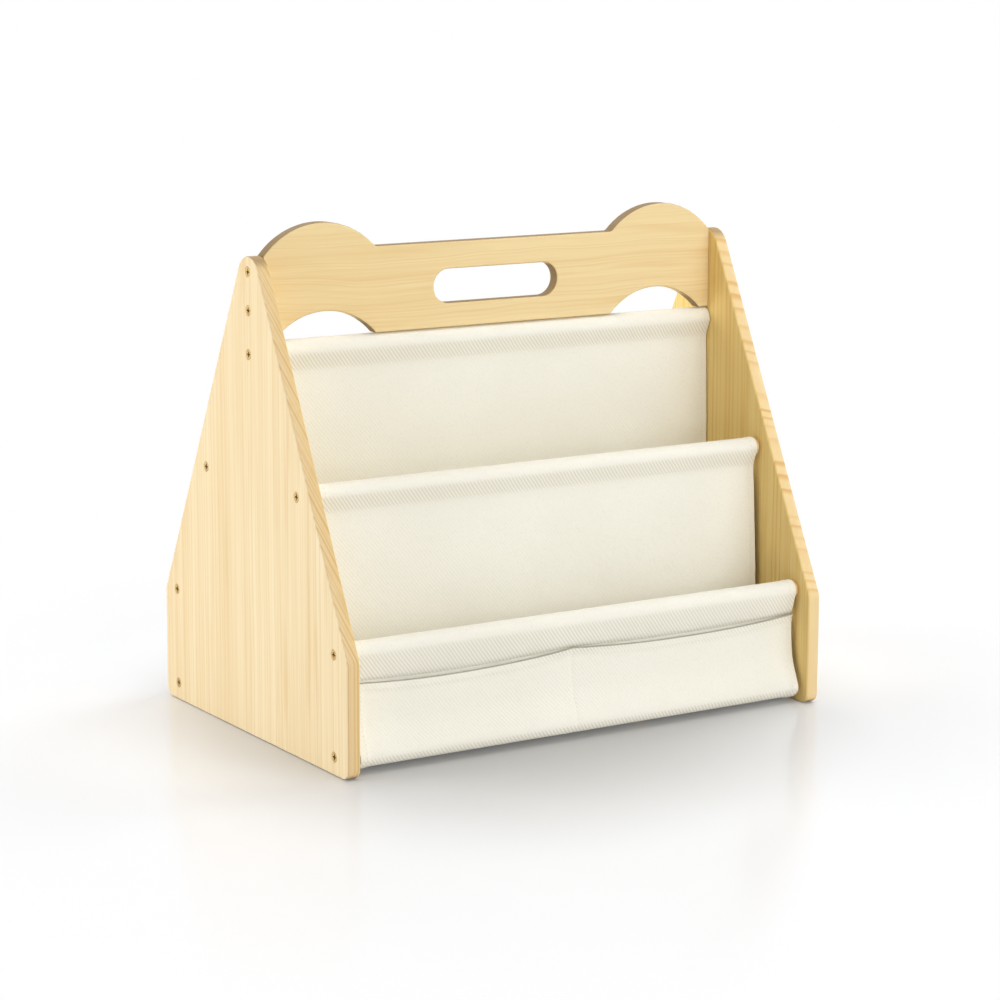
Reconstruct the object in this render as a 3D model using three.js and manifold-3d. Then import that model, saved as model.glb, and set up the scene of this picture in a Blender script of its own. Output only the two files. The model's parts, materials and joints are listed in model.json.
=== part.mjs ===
// Two-sided sling bookshelf: two peaked wooden side panels, a handle board, seven dowels and canvas slings.
// Millimetres. X runs from left to right, Y from front to rear and Z up from the floor.
// The origin is on the floor under the middle of the shelf. The rear half is the front half turned round.

import * as THREE from 'three';
import { mergeVertices } from 'three/addons/utils/BufferGeometryUtils.js';
import Module from 'manifold-3d';

const wasm = await Module();
wasm.setup();

// Side panels
const overallWidth = 480;
const panelThickness = 12;
const panelDepth = 329.4;
const shoulderHeight = 98;
const slopeMeetingHeight = 434.2;
const peakRadius = 19;
const shoulderRadius = 14;
const footRadius = 9;
const edgeRounding = 1.5;

// Fits
const fitGap = 0.3;
const cutOverrun = 1;

// Rods, with each one's place in the panel
const rodRadius = 7.5;
const rodChamfer = 0.8;
const topRodDrop = 81.9;
const middleRodHeight = 220.6;
const middleRodInset = 23.4;
const lowerRodHeight = 101;
const lowerRodInset = 21.2;
const bottomRodHeight = 15.4;
const bottomRodInset = 22.7;

// Countersunk wood screws
const screwHeadRadius = 4.1;
const screwHeadDepth = 2.3;
const screwShankRadius = 2;
const screwLength = 38;
const screwPointLength = 5;
const screwSink = 0.3;
const recessDepth = 1.5;
const recessSpan = 5;
const recessWidth = 1.3;
const pilotClearance = 1;

// Handle board
const boardThickness = 12;
const boardRollGap = 0.5;
const boardHeight = 74;
const earHalfWidth = 52;
const earTuck = 3;
const earRise = 22.6;
const earFootRadius = 5;
const cutoutHalfWidth = 48.7;
const cutoutEndWidth = 9.9;
const cutoutRise = 21.6;
const slotLength = 126.5;
const slotHeight = 29.5;
const slotRise = 35.7;
const lowerScrewRise = 26.1;
const upperScrewRise = 58.3;

// Cloth and its casings
const clothThickness = 1;
const clothSideGap = 4.2;
const topClothSideGap = 0.7;
const topCasingSlack = 1.4;
const bottomCasingSlack = 0.6;
const bottomCasingSag = 1.2;
const neckDrop = 15;
const neckOffset = 3.1;
const topNeckOffset = 4.7;
const bottomSeamRise = 22;

// Hanging pockets: how far each wall leans outwards, and how deep each pocket hangs below its front rod
const upperWallLean = 3.1;
const upperPocketDrop = 68;
const middleWallLean = 7;
const middlePocketDrop = 66;

// Pouches on the lower panel, with the heights of their upper edge
const pouchLeftHeight = 76;
const pouchSeamHeight = 79;
const pouchRightHeight = 80;
const pouchEdgeSag = 4.8;
const pouchSeamOffset = 10;
const pouchFootHeight = 22;
const pouchGape = 7;

// Each point of a pocket, as a share of its width from the wall outwards and of its drop
const pocketShares = [[0, 0.12], [0.05, 0.5], [0.2, 0.86], [0.46, 1], [0.74, 0.87], [0.92, 0.52]];

// Counts of faces
const rodSides = 20;
const screwSides = 12;
const arcSteps = 5;
const boardArcSteps = 12;
const casingSteps = 16;
const pocketSteps = 18;
const panelSteps = 8;
const pouchColumns = 18;
const pouchWrapSteps = 6;
const pouchWrapTurn = 0.8 * Math.PI;

// Heights and places that follow from the sizes
const halfWidth = overallWidth / 2;
const innerHalfWidth = halfWidth - panelThickness;
const halfDepth = panelDepth / 2;
const slopeHeight = slopeMeetingHeight - shoulderHeight;
const slopeHalfAngle = Math.atan2(halfDepth, slopeHeight);
const peakHeight = slopeMeetingHeight - peakRadius / Math.sin(slopeHalfAngle) + peakRadius;
const fittedHalfLength = innerHalfWidth - fitGap;
const pilotDepth = screwSink + screwLength + pilotClearance - panelThickness - fitGap;

// The distance from the middle of a panel to its edge at one height
function edgeDistance(height) {
  return halfDepth * Math.min(1, (slopeMeetingHeight - height) / slopeHeight);
}

const topRod = { out: 0, height: peakHeight - topRodDrop };
const middleRod = { out: edgeDistance(middleRodHeight) - middleRodInset, height: middleRodHeight };
const lowerRod = { out: edgeDistance(lowerRodHeight) - lowerRodInset, height: lowerRodHeight };
const bottomRod = { out: edgeDistance(bottomRodHeight) - bottomRodInset, height: bottomRodHeight };

const casingRadius = rodRadius + fitGap + clothThickness / 2;
const topCasingRadius = casingRadius + topCasingSlack;
const bottomCasingRadius = casingRadius + bottomCasingSlack;
const boardBottom = topRod.height + topCasingRadius + clothThickness / 2 + boardRollGap;
const boardTop = boardBottom + boardHeight;

// Finishes
const panelWood = { color: '#f4dcae', roughness: 0.55, metalness: 0 };
const boardWood = { color: '#f2d59f', roughness: 0.55, metalness: 0 };
const rodWood = { color: '#ecd2a0', roughness: 0.6, metalness: 0 };
const canvas = { color: '#f3efe0', roughness: 0.95, metalness: 0 };
const brassPlate = { color: '#c2a15a', roughness: 0.35, metalness: 0.9 };

// A solid for cutting and joining, made from a closed geometry
function toSolid(geometry) {
  const bare = geometry.clone();
  bare.deleteAttribute('normal');
  bare.deleteAttribute('uv');
  const merged = mergeVertices(bare);
  const corners = merged.index.array;
  const kept = [];
  for (let i = 0; i < corners.length; i += 3) {
    const [a, b, c] = corners.slice(i, i + 3);
    if (a !== b && b !== c && c !== a) kept.push(a, b, c);
  }
  return new wasm.Manifold(new wasm.Mesh({
    numProp: 3,
    vertProperties: new Float32Array(merged.attributes.position.array),
    triVerts: new Uint32Array(kept),
  }));
}

function toGeometry(solid) {
  const { vertProperties, triVerts } = solid.getMesh();
  const geometry = new THREE.BufferGeometry();
  geometry.setAttribute('position', new THREE.BufferAttribute(vertProperties, 3));
  geometry.setIndex(new THREE.BufferAttribute(triVerts, 1));
  geometry.computeVertexNormals();
  return geometry;
}

function joinAll(solids) {
  return solids.reduce((whole, solid) => whole.add(solid));
}

// A closed outline with a round at every corner, from corners of [across, up, radius] in anticlockwise order
function roundedOutline(corners) {
  const shape = new THREE.Shape();
  corners.forEach(([across, up, radius], i) => {
    const corner = new THREE.Vector2(across, up);
    const [before, after] = [corners.at(i - 1), corners[(i + 1) % corners.length]].map(
      ([x, y]) => new THREE.Vector2(x, y).sub(corner).normalize());
    const halfAngle = Math.acos(before.dot(after)) / 2;
    const reach = radius / Math.tan(halfAngle);
    const centre = before.clone().add(after).normalize().multiplyScalar(radius / Math.sin(halfAngle)).add(corner);
    const [start, end] = [before, after].map((way) => way.multiplyScalar(reach).add(corner).sub(centre).angle());
    shape.absarc(centre.x, centre.y, radius, start, end, false);
  });
  return shape;
}

// A board cut from an outline, with its long edges rounded over; its thickness runs from zero upwards
function boardGeometry(shape, thickness, curveSegments) {
  const geometry = new THREE.ExtrudeGeometry(shape, {
    depth: thickness - 2 * edgeRounding,
    bevelThickness: edgeRounding,
    bevelSize: edgeRounding,
    bevelOffset: -edgeRounding,
    bevelSegments: 2,
    curveSegments,
  });
  return geometry.translate(0, 0, edgeRounding);
}

// Turns an outline drawn as depth and height into one that stands along X
const acrossWidth = new THREE.Matrix4().makeBasis(
  new THREE.Vector3(0, 1, 0), new THREE.Vector3(0, 0, 1), new THREE.Vector3(1, 0, 0));

// A turned shape whose axis runs along +X from the outer face of the left panel, from [radius, depth] points
function turnedGeometry(profile, sides) {
  const points = profile.map(([radius, depth]) => new THREE.Vector2(radius, depth));
  return new THREE.LatheGeometry(points, sides).rotateZ(-Math.PI / 2);
}

function screwGeometry() {
  const body = toSolid(turnedGeometry([
    [0, 0],
    [screwHeadRadius, 0],
    [screwShankRadius, screwHeadDepth],
    [screwShankRadius, screwLength - screwPointLength],
    [0, screwLength],
  ], screwSides));
  const arms = [[recessSpan, recessWidth], [recessWidth, recessSpan]].map(
    ([deep, high]) => toSolid(new THREE.BoxGeometry(2 * recessDepth, deep, high)));
  return toGeometry(body.subtract(joinAll(arms)));
}

// The countersunk hole that a screw passes through in a panel
function countersinkGeometry() {
  return turnedGeometry([
    [0, -cutOverrun],
    [screwHeadRadius + fitGap, -cutOverrun],
    [screwHeadRadius + fitGap, screwSink],
    [screwShankRadius + fitGap, screwSink + screwHeadDepth],
    [screwShankRadius + fitGap, panelThickness + cutOverrun],
    [0, panelThickness + cutOverrun],
  ], screwSides);
}

// Each screw's name and its place in the panel, with Y and height
const screwPlaces = [
  ['board_upper', 0, boardBottom + upperScrewRise],
  ['board_lower', 0, boardBottom + lowerScrewRise],
  ['top_rod', topRod.out, topRod.height],
];
for (const [end, side] of [['front', -1], ['rear', 1]]) {
  screwPlaces.push([`${end}_middle_rod`, side * middleRod.out, middleRod.height]);
  screwPlaces.push([`${end}_lower_rod`, side * lowerRod.out, lowerRod.height]);
  screwPlaces.push([`${end}_bottom_rod`, side * bottomRod.out, bottomRod.height]);
}

// The left panel: its outer face lies at the shelf's left end
function panelGeometry() {
  const outline = roundedOutline([
    [-halfDepth, 0, footRadius],
    [halfDepth, 0, footRadius],
    [halfDepth, shoulderHeight, shoulderRadius],
    [0, slopeMeetingHeight, peakRadius],
    [-halfDepth, shoulderHeight, shoulderRadius],
  ]);
  const board = boardGeometry(outline, panelThickness, arcSteps)
    .applyMatrix4(acrossWidth)
    .translate(-halfWidth, 0, 0);
  const holes = screwPlaces.map(([, y, height]) => toSolid(countersinkGeometry().translate(-halfWidth, y, height)));
  return toGeometry(toSolid(board).subtract(joinAll(holes)));
}

// A rod with a pilot hole in each end, lying along X about the middle of the shelf
function rodGeometry() {
  const end = fittedHalfLength;
  const bore = screwShankRadius + fitGap;
  return turnedGeometry([
    [0, -end + pilotDepth],
    [bore, -end + pilotDepth],
    [bore, -end],
    [rodRadius - rodChamfer, -end],
    [rodRadius, -end + rodChamfer],
    [rodRadius, end - rodChamfer],
    [rodRadius - rodChamfer, end],
    [bore, end],
    [bore, end - pilotDepth],
    [0, end - pilotDepth],
  ], rodSides);
}

// The radius of an arc that rises by one height over half a chord
function arcRadius(halfChord, rise) {
  return (halfChord ** 2 + rise ** 2) / (2 * rise);
}

// The handle board's outline, a little too long at each end, as width and height
function boardOutline() {
  const end = fittedHalfLength + edgeRounding;
  const earRadius = arcRadius(earHalfWidth, earRise);
  const earMiddle = innerHalfWidth - earTuck - earHalfWidth;
  const earHeight = boardTop + earRise - earRadius;
  const earOuter = Math.acos((end - earMiddle) / earRadius);
  const footHeight = boardTop + earFootRadius;
  const footSlant = Math.asin((footHeight - earHeight) / (earRadius + earFootRadius));
  const footMiddle = earMiddle - (earRadius + earFootRadius) * Math.cos(footSlant);
  const cutoutRadius = arcRadius(cutoutHalfWidth, cutoutRise);
  const cutoutMiddle = innerHalfWidth - cutoutEndWidth - cutoutHalfWidth;
  const cutoutHeight = boardBottom + cutoutRise - cutoutRadius;
  const cutoutStart = Math.acos(cutoutHalfWidth / cutoutRadius);
  const shape = new THREE.Shape();
  shape.moveTo(-end, boardBottom);
  shape.absarc(-cutoutMiddle, cutoutHeight, cutoutRadius, Math.PI - cutoutStart, cutoutStart, true);
  shape.absarc(cutoutMiddle, cutoutHeight, cutoutRadius, Math.PI - cutoutStart, cutoutStart, true);
  shape.lineTo(end, boardBottom);
  shape.absarc(earMiddle, earHeight, earRadius, earOuter, Math.PI - footSlant, false);
  shape.absarc(footMiddle, footHeight, earFootRadius, -footSlant, -Math.PI / 2, true);
  shape.absarc(-footMiddle, footHeight, earFootRadius, -Math.PI / 2, footSlant - Math.PI, true);
  shape.absarc(-earMiddle, earHeight, earRadius, footSlant, Math.PI - earOuter, false);
  const slot = new THREE.Path();
  const slotRadius = slotHeight / 2;
  const slotMiddle = slotLength / 2 - slotRadius;
  slot.absarc(slotMiddle, boardBottom + slotRise, slotRadius, -Math.PI / 2, Math.PI / 2, false);
  slot.absarc(-slotMiddle, boardBottom + slotRise, slotRadius, Math.PI / 2, 1.5 * Math.PI, false);
  shape.holes.push(slot);
  return shape;
}

// The handle board, trimmed square at its ends and bored for its four screws
function handleBoardGeometry() {
  const board = boardGeometry(boardOutline(), boardThickness, boardArcSteps)
    .rotateX(Math.PI / 2)
    .translate(0, boardThickness / 2, 0);
  const trimHeight = 2 * boardHeight;
  const cutters = [];
  for (const side of [-1, 1]) {
    const trim = new THREE.BoxGeometry(2 * edgeRounding, 2 * boardThickness, trimHeight);
    cutters.push(toSolid(trim.translate(side * (fittedHalfLength + edgeRounding), 0, boardBottom + boardHeight / 2)));
    for (const rise of [lowerScrewRise, upperScrewRise]) {
      const pilot = new THREE.CylinderGeometry(
        screwShankRadius + fitGap, screwShankRadius + fitGap, 2 * pilotDepth, screwSides);
      cutters.push(toSolid(pilot.rotateZ(Math.PI / 2).translate(side * fittedHalfLength, 0, boardBottom + rise)));
    }
  }
  return toGeometry(toSolid(board).subtract(joinAll(cutters)));
}

// A strip of cloth that follows a line of [out, height] points across the front half of the shelf
function clothStrip(line, halfSpan) {
  const points = line.map(([out, height]) => new THREE.Vector2(-out, height));
  const reach = clothThickness / 2;
  const sides = points.map((point, i) => {
    const before = points[Math.max(i - 1, 0)];
    const after = points[Math.min(i + 1, points.length - 1)];
    const along = after.clone().sub(before).normalize();
    const start = i === 0 ? -reach : 0;
    const finish = i === points.length - 1 ? reach : 0;
    const place = point.clone().addScaledVector(along, start + finish);
    const square = new THREE.Vector2(-along.y, along.x).multiplyScalar(reach);
    return [place.clone().add(square), place.clone().sub(square)];
  });
  const outline = [...sides.map(([left]) => left), ...sides.map(([, right]) => right).reverse()];
  const geometry = new THREE.ExtrudeGeometry(new THREE.Shape(outline), { depth: 2 * halfSpan, bevelEnabled: false });
  return toSolid(geometry.applyMatrix4(acrossWidth).translate(-halfSpan, 0, 0));
}

// The point where a casing is stitched shut under its rod
function neckPoint(rod, offset) {
  return [rod.out + offset, rod.height - neckDrop];
}

// The angle at which a line from one point touches a round of cloth, on the side that is asked for
function touchAngle([out, height], rod, radius, side) {
  const across = out - rod.out;
  const up = height - rod.height;
  return Math.atan2(up, across) + side * Math.acos(radius / Math.hypot(across, up));
}

function arcPoints(rod, radius, start, end, steps) {
  return Array.from({ length: steps + 1 }, (_, i) => {
    const angle = start + (end - start) * i / steps;
    return [rod.out + radius * Math.cos(angle), rod.height + radius * Math.sin(angle)];
  });
}

// A casing in two strips that lap over the rod: from its outer neck over the rod to its inner neck
function casingStrips(rod, radius, outerNeck, innerNeck, halfSpan) {
  const start = touchAngle(outerNeck, rod, radius, 1);
  const end = touchAngle(innerNeck, rod, radius, -1) + 2 * Math.PI;
  const round = arcPoints(rod, radius, start, end, casingSteps);
  const half = casingSteps / 2;
  return [
    clothStrip([outerNeck, ...round.slice(0, half + 2)], halfSpan),
    clothStrip([...round.slice(half - 1), innerNeck], halfSpan),
  ];
}

// A pocket's line: down the wall from one rod, round under the next one and up to its neck
function pocketLine(start, lean, rod, drop) {
  const wall = start[0] + lean;
  const end = neckPoint(rod, neckOffset);
  const knots = pocketShares.map(([widthShare, dropShare]) => new THREE.Vector2(
    wall + (end[0] - wall) * widthShare, rod.height - drop * dropShare));
  const curve = new THREE.SplineCurve([...knots, new THREE.Vector2(...end)]);
  return [start, ...curve.getPoints(pocketSteps).map((point) => point.toArray())];
}

const panelTop = neckPoint(lowerRod, neckOffset);
const slackRod = { out: bottomRod.out, height: bottomRod.height - bottomCasingSag };

// How far out the lower panel of cloth hangs at one height
function panelOut(height) {
  const fallen = (panelTop[1] - height) / (panelTop[1] - slackRod.height);
  return panelTop[0] + (bottomRod.out + bottomCasingRadius - panelTop[0]) * fallen ** 2;
}

// The lower panel and the slack casing round the bottom rod, in two strips
function lowerPanelStrips(halfSpan) {
  const rod = bottomRod;
  const radius = bottomCasingRadius;
  const hanging = Array.from({ length: panelSteps }, (_, i) => {
    const height = panelTop[1] + (slackRod.height - panelTop[1]) * i / panelSteps;
    return [panelOut(height), height];
  });
  const seamHeight = rod.height + bottomSeamRise;
  const seam = [panelOut(seamHeight), seamHeight];
  const under = arcPoints(slackRod, radius, 0, -Math.PI, casingSteps);
  const leaving = touchAngle(seam, rod, radius, 1);
  const behind = arcPoints(rod, radius, Math.PI, leaving, arcSteps);
  return [
    clothStrip([...hanging, ...under.slice(0, -1)], halfSpan),
    clothStrip([...under.slice(-3), ...behind, seam], halfSpan),
  ];
}

const topHalfSpan = innerHalfWidth - topClothSideGap;
const clothHalfSpan = innerHalfWidth - clothSideGap;

// One side's cloth below the top casing
function hangingStrips(start) {
  const lines = [
    pocketLine(start, upperWallLean, middleRod, upperPocketDrop),
    pocketLine(neckPoint(middleRod, neckOffset), middleWallLean, lowerRod, middlePocketDrop),
  ];
  const strips = lines.map((line) => clothStrip(line, clothHalfSpan));
  strips.push(clothStrip(lines[0].slice(0, 3), topHalfSpan));
  for (const rod of [middleRod, lowerRod]) {
    const neck = neckPoint(rod, neckOffset);
    strips.push(...casingStrips(rod, casingRadius, neck, neck, clothHalfSpan));
  }
  return [...strips, ...lowerPanelStrips(clothHalfSpan)];
}

// The front cloth, with the casing round the top rod
function frontSlingGeometry() {
  const outerNeck = neckPoint(topRod, topNeckOffset);
  const innerNeck = neckPoint(topRod, -topNeckOffset);
  const casing = casingStrips(topRod, topCasingRadius, outerNeck, innerNeck, topHalfSpan);
  const foot = clothStrip([outerNeck, innerNeck], topHalfSpan);
  return toGeometry(joinAll([...hangingStrips(outerNeck), ...casing, foot]));
}

// The rear cloth, which is sewn under the top casing
function rearSlingGeometry() {
  const [out, height] = neckPoint(topRod, topNeckOffset);
  return toGeometry(joinAll(hangingStrips([out, height - clothThickness - 2 * fitGap])));
}

// The height of the pouches' upper edge at one place along it, with a sag between each pair of seams
function pouchPlace(x) {
  const seam = -pouchSeamOffset;
  const [from, to] = x < seam ? [-clothHalfSpan, seam] : [seam, clothHalfSpan];
  const [low, high] = x < seam ? [pouchLeftHeight, pouchSeamHeight] : [pouchSeamHeight, pouchRightHeight];
  const share = (x - from) / (to - from);
  const bow = 1 - (2 * share - 1) ** 2;
  const swell = 1 - (2 * share - 1) ** 4;
  return { edge: low + (high - low) * share - pouchEdgeSag * bow, swell };
}

// One line of the pouch cloth, from its upper edge down to the foot and round under the bottom casing
function pouchLine(x) {
  const { edge, swell } = pouchPlace(x);
  const lap = clothThickness + fitGap;
  const hanging = Array.from({ length: panelSteps }, (_, i) => {
    const height = edge + (slackRod.height - edge) * i / panelSteps;
    const open = Math.max(0, (height - pouchFootHeight) / (edge - pouchFootHeight));
    return [panelOut(height) + lap + pouchGape * swell * open, height];
  });
  return [...hanging, ...arcPoints(slackRod, bottomCasingRadius + lap, 0, -pouchWrapTurn, pouchWrapSteps)];
}

// The pouch cloth as one closed skin over a grid of columns and rows
function pouchGeometry() {
  const seamShare = (clothHalfSpan - pouchSeamOffset) / (2 * clothHalfSpan);
  const seamColumn = Math.round(pouchColumns * seamShare);
  const columns = Array.from({ length: pouchColumns + 1 }, (_, i) => {
    const share = i < seamColumn
      ? seamShare * i / seamColumn
      : seamShare + (1 - seamShare) * (i - seamColumn) / (pouchColumns - seamColumn);
    return clothHalfSpan * (2 * share - 1);
  });
  const rows = panelSteps + pouchWrapSteps + 1;
  const positions = [];
  for (const face of [1, -1]) {
    for (const x of columns) {
      const line = pouchLine(x);
      line.forEach(([out, height], row) => {
        const before = line[Math.max(row - 1, 0)];
        const after = line[Math.min(row + 1, rows - 1)];
        const along = new THREE.Vector2(after[0] - before[0], after[1] - before[1]).normalize();
        const shift = face * clothThickness / 2;
        positions.push(x, -(out - along.y * shift), height + along.x * shift);
      });
    }
  }
  const faces = [];
  const quad = (a, b, c, d) => faces.push(a, b, c, a, c, d);
  const inner = columns.length * rows;
  for (let column = 0; column < pouchColumns; column += 1) {
    for (let row = 0; row < rows - 1; row += 1) {
      const here = column * rows + row;
      const next = here + rows;
      quad(here, here + 1, next + 1, next);
      quad(inner + here, inner + next, inner + next + 1, inner + here + 1);
    }
    const top = column * rows;
    const foot = top + rows - 1;
    quad(top, top + rows, inner + top + rows, inner + top);
    quad(foot, inner + foot, inner + foot + rows, foot + rows);
  }
  const last = pouchColumns * rows;
  for (let row = 0; row < rows - 1; row += 1) {
    quad(row, inner + row, inner + row + 1, row + 1);
    quad(last + row, last + row + 1, inner + last + row + 1, inner + last + row);
  }
  const geometry = new THREE.BufferGeometry();
  geometry.setAttribute('position', new THREE.Float32BufferAttribute(positions, 3));
  geometry.setIndex(faces);
  geometry.computeVertexNormals();
  return geometry;
}

const group = new THREE.Group();

function addPiece(parent, name, geometry, finish) {
  const mesh = new THREE.Mesh(geometry, new THREE.MeshStandardMaterial(finish));
  mesh.name = name;
  parent.add(mesh);
  return mesh;
}

// Two halves: what is on the left and the front, and the same turned half round
const frontHalf = new THREE.Group();
const rearHalf = new THREE.Group();
rearHalf.rotation.z = Math.PI;
group.add(frontHalf, rearHalf);

addPiece(frontHalf, 'left_side_panel', panelGeometry(), panelWood);
addPiece(rearHalf, 'right_side_panel', panelGeometry(), panelWood);
addPiece(group, 'handle_board', handleBoardGeometry(), boardWood);

addPiece(group, 'top_rod', rodGeometry(), rodWood).position.z = topRod.height;
for (const [end, half] of [['front', frontHalf], ['rear', rearHalf]]) {
  for (const [level, rod] of [['middle', middleRod], ['lower', lowerRod], ['bottom', bottomRod]]) {
    addPiece(half, `${end}_${level}_rod`, rodGeometry(), rodWood).position.set(0, -rod.out, rod.height);
  }
}

addPiece(frontHalf, 'front_sling', frontSlingGeometry(), canvas);
addPiece(rearHalf, 'rear_sling', rearSlingGeometry(), canvas);
addPiece(frontHalf, 'front_pouch', pouchGeometry(), canvas);
addPiece(rearHalf, 'rear_pouch', pouchGeometry(), canvas);

for (const [place, y, height] of screwPlaces) {
  const left = addPiece(frontHalf, `left_screw_${place}`, screwGeometry(), brassPlate);
  left.position.set(-halfWidth + screwSink, y, height);
  const right = addPiece(rearHalf, `right_screw_${place}`, screwGeometry(), brassPlate);
  right.position.set(-halfWidth + screwSink, -y, height);
}

export default group;
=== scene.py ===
"""Two-sided sling bookshelf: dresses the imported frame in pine, canvas and brass, on a pale studio floor."""

import json
import math
from bisect import bisect_right

import bmesh
import bpy
from bpy.props import FloatProperty, FloatVectorProperty, PointerProperty
from mathutils import Color, Matrix, Vector, noise
from mathutils.geometry import interpolate_bezier

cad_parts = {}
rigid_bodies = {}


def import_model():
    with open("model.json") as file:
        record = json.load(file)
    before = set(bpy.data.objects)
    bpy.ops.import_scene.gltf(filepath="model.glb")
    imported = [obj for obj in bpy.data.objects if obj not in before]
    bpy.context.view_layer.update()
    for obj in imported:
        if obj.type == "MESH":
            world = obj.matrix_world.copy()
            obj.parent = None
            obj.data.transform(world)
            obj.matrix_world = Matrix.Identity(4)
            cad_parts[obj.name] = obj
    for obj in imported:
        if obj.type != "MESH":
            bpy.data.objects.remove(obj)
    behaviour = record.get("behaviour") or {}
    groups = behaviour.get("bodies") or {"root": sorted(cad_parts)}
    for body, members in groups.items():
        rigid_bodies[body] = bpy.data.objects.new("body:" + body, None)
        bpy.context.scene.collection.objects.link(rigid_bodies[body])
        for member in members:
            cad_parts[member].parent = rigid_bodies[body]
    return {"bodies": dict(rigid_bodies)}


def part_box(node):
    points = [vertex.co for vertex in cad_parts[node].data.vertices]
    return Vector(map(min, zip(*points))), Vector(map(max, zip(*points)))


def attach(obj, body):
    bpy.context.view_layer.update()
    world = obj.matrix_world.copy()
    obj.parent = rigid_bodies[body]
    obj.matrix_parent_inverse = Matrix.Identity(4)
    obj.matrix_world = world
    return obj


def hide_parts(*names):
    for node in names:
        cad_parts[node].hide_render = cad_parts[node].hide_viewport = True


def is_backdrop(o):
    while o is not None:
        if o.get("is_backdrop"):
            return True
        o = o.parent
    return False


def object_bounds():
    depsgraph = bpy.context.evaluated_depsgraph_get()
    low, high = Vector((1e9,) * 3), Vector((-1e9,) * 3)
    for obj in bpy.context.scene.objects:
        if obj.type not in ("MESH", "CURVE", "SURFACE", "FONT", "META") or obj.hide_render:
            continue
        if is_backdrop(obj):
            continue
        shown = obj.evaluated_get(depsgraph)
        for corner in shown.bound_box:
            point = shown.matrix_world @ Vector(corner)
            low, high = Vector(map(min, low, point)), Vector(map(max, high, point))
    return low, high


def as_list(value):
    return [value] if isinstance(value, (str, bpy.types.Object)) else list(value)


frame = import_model()
cad_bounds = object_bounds()

bl_info = {
    "name": "Sling bookshelf",
    "version": (1, 0, 0),
    "blender": (4, 5, 0),
    "location": "View3D > Sidebar > Bookshelf",
    "description": "Builds a two-sided sling bookshelf piece by piece round its packed frame",
    "category": "Add Mesh",
}

BODY = next(iter(frame["bodies"]))
LEFT, RIGHT = "left", "right"
FRONT, REAR = "front", "rear"
AS_DRAWN = Matrix.Identity(4)
HALF_TURN = Matrix.Rotation(math.pi, 4, "Z")
END_TURNS = {FRONT: AS_DRAWN, REAR: HALF_TURN}
# Points closer than the first are one point, and the second is a short step on a cloth
TOUCHING, NEARBY = 0.000005, 0.0005
CLOTH_MAP = "CutCloth"
HEM_GROUP = "hem"


def extent(node):
    """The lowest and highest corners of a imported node."""
    low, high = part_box(node)
    return Vector(low), Vector(high)


def middle_of(node):
    low, high = extent(node)
    return (low + high) / 2


def size_of(node):
    low, high = extent(node)
    return high - low


PANEL_MIDDLE, PANEL_SIZE = middle_of("left_side_panel"), size_of("left_side_panel")
BOARD_SIZE = size_of("handle_board")
ROD_SIZE = size_of("top_rod")
SCREW_SIZE = size_of("left_screw_top_rod")


def length(name, description, default):
    return FloatProperty(name=name, description=description, default=default, unit="LENGTH", precision=5)


def angle(name, description, degrees):
    return FloatProperty(name=name, description=description, default=math.radians(degrees), subtype="ANGLE")


def power(name, description, default):
    return FloatProperty(name=name, description=description, default=default, unit="POWER")


def colour(name, description, red, green, blue):
    """A colour as it shows on a screen, from 0 to 255."""
    default = [shade / 255 for shade in (red, green, blue)]
    return FloatVectorProperty(
        name=name, description=description, default=default, size=3, min=0, max=1, subtype="COLOR_GAMMA")


class PanelSizes(bpy.types.PropertyGroup):
    thickness: length("Thickness", "Thickness of a side panel", PANEL_SIZE.x)
    depth: length("Depth", "Depth of a side panel from front to rear", PANEL_SIZE.y)
    shoulder_height: length("Shoulder height", "Height at which the upright edges end", 0.098)
    slope_meeting_height: length("Slope meeting height", "Height at which the two slopes would meet", 0.4342)
    peak_radius: length("Peak radius", "Round of the peak", 0.019)
    shoulder_radius: length("Shoulder radius", "Round of each shoulder", 0.014)
    foot_radius: length("Foot radius", "Round of each lower corner", 0.009)
    edge_rounding: length("Edge rounding", "Round of the long edges", 0.0015)


class BoardSizes(bpy.types.PropertyGroup):
    thickness: length("Thickness", "Thickness of the handle board", BOARD_SIZE.y)
    half_length: length("Half length", "Half the length of the handle board", BOARD_SIZE.x / 2)
    height: length("Height", "Height of the board between its ears", 0.074)
    ear_half_width: length("Ear half width", "Half the width of a raised ear", 0.052)
    ear_rise: length("Ear rise", "Rise of an ear over the board's upper edge", 0.0226)
    ear_foot_radius: length("Ear foot radius", "Round where an ear rises from the board's upper edge", 0.005)
    ear_tuck: length("Ear tuck", "How far the middle of an ear lies in from its own half width", 0.0027)
    cutout_half_width: length("Cut-out half width", "Half the width of a lower cut-out", 0.0487)
    cutout_end_width: length("Cut-out end width", "Width of board left beside a cut-out", 0.0096)
    cutout_rise: length("Cut-out rise", "Rise of a cut-out's arch", 0.0216)
    slot_length: length("Slot length", "Length of the hand slot", 0.1265)
    slot_height: length("Slot height", "Height of the hand slot", 0.0295)
    slot_rise: length("Slot rise", "Height of the hand slot's middle over the lower edge", 0.0357)
    edge_rounding: length("Edge rounding", "Round of the long edges", 0.0015)


class RodSizes(bpy.types.PropertyGroup):
    radius: length("Radius", "Radius of a dowel", ROD_SIZE.z / 2)
    half_length: length("Half length", "Half the length of a dowel", ROD_SIZE.x / 2)
    chamfer: length("Chamfer", "Chamfer round each end", 0.0008)
    pilot_radius: length("Pilot radius", "Radius of the pilot hole in each end", 0.0023)
    pilot_depth: length("Pilot depth", "Depth of the pilot hole in each end", 0.027)


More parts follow.
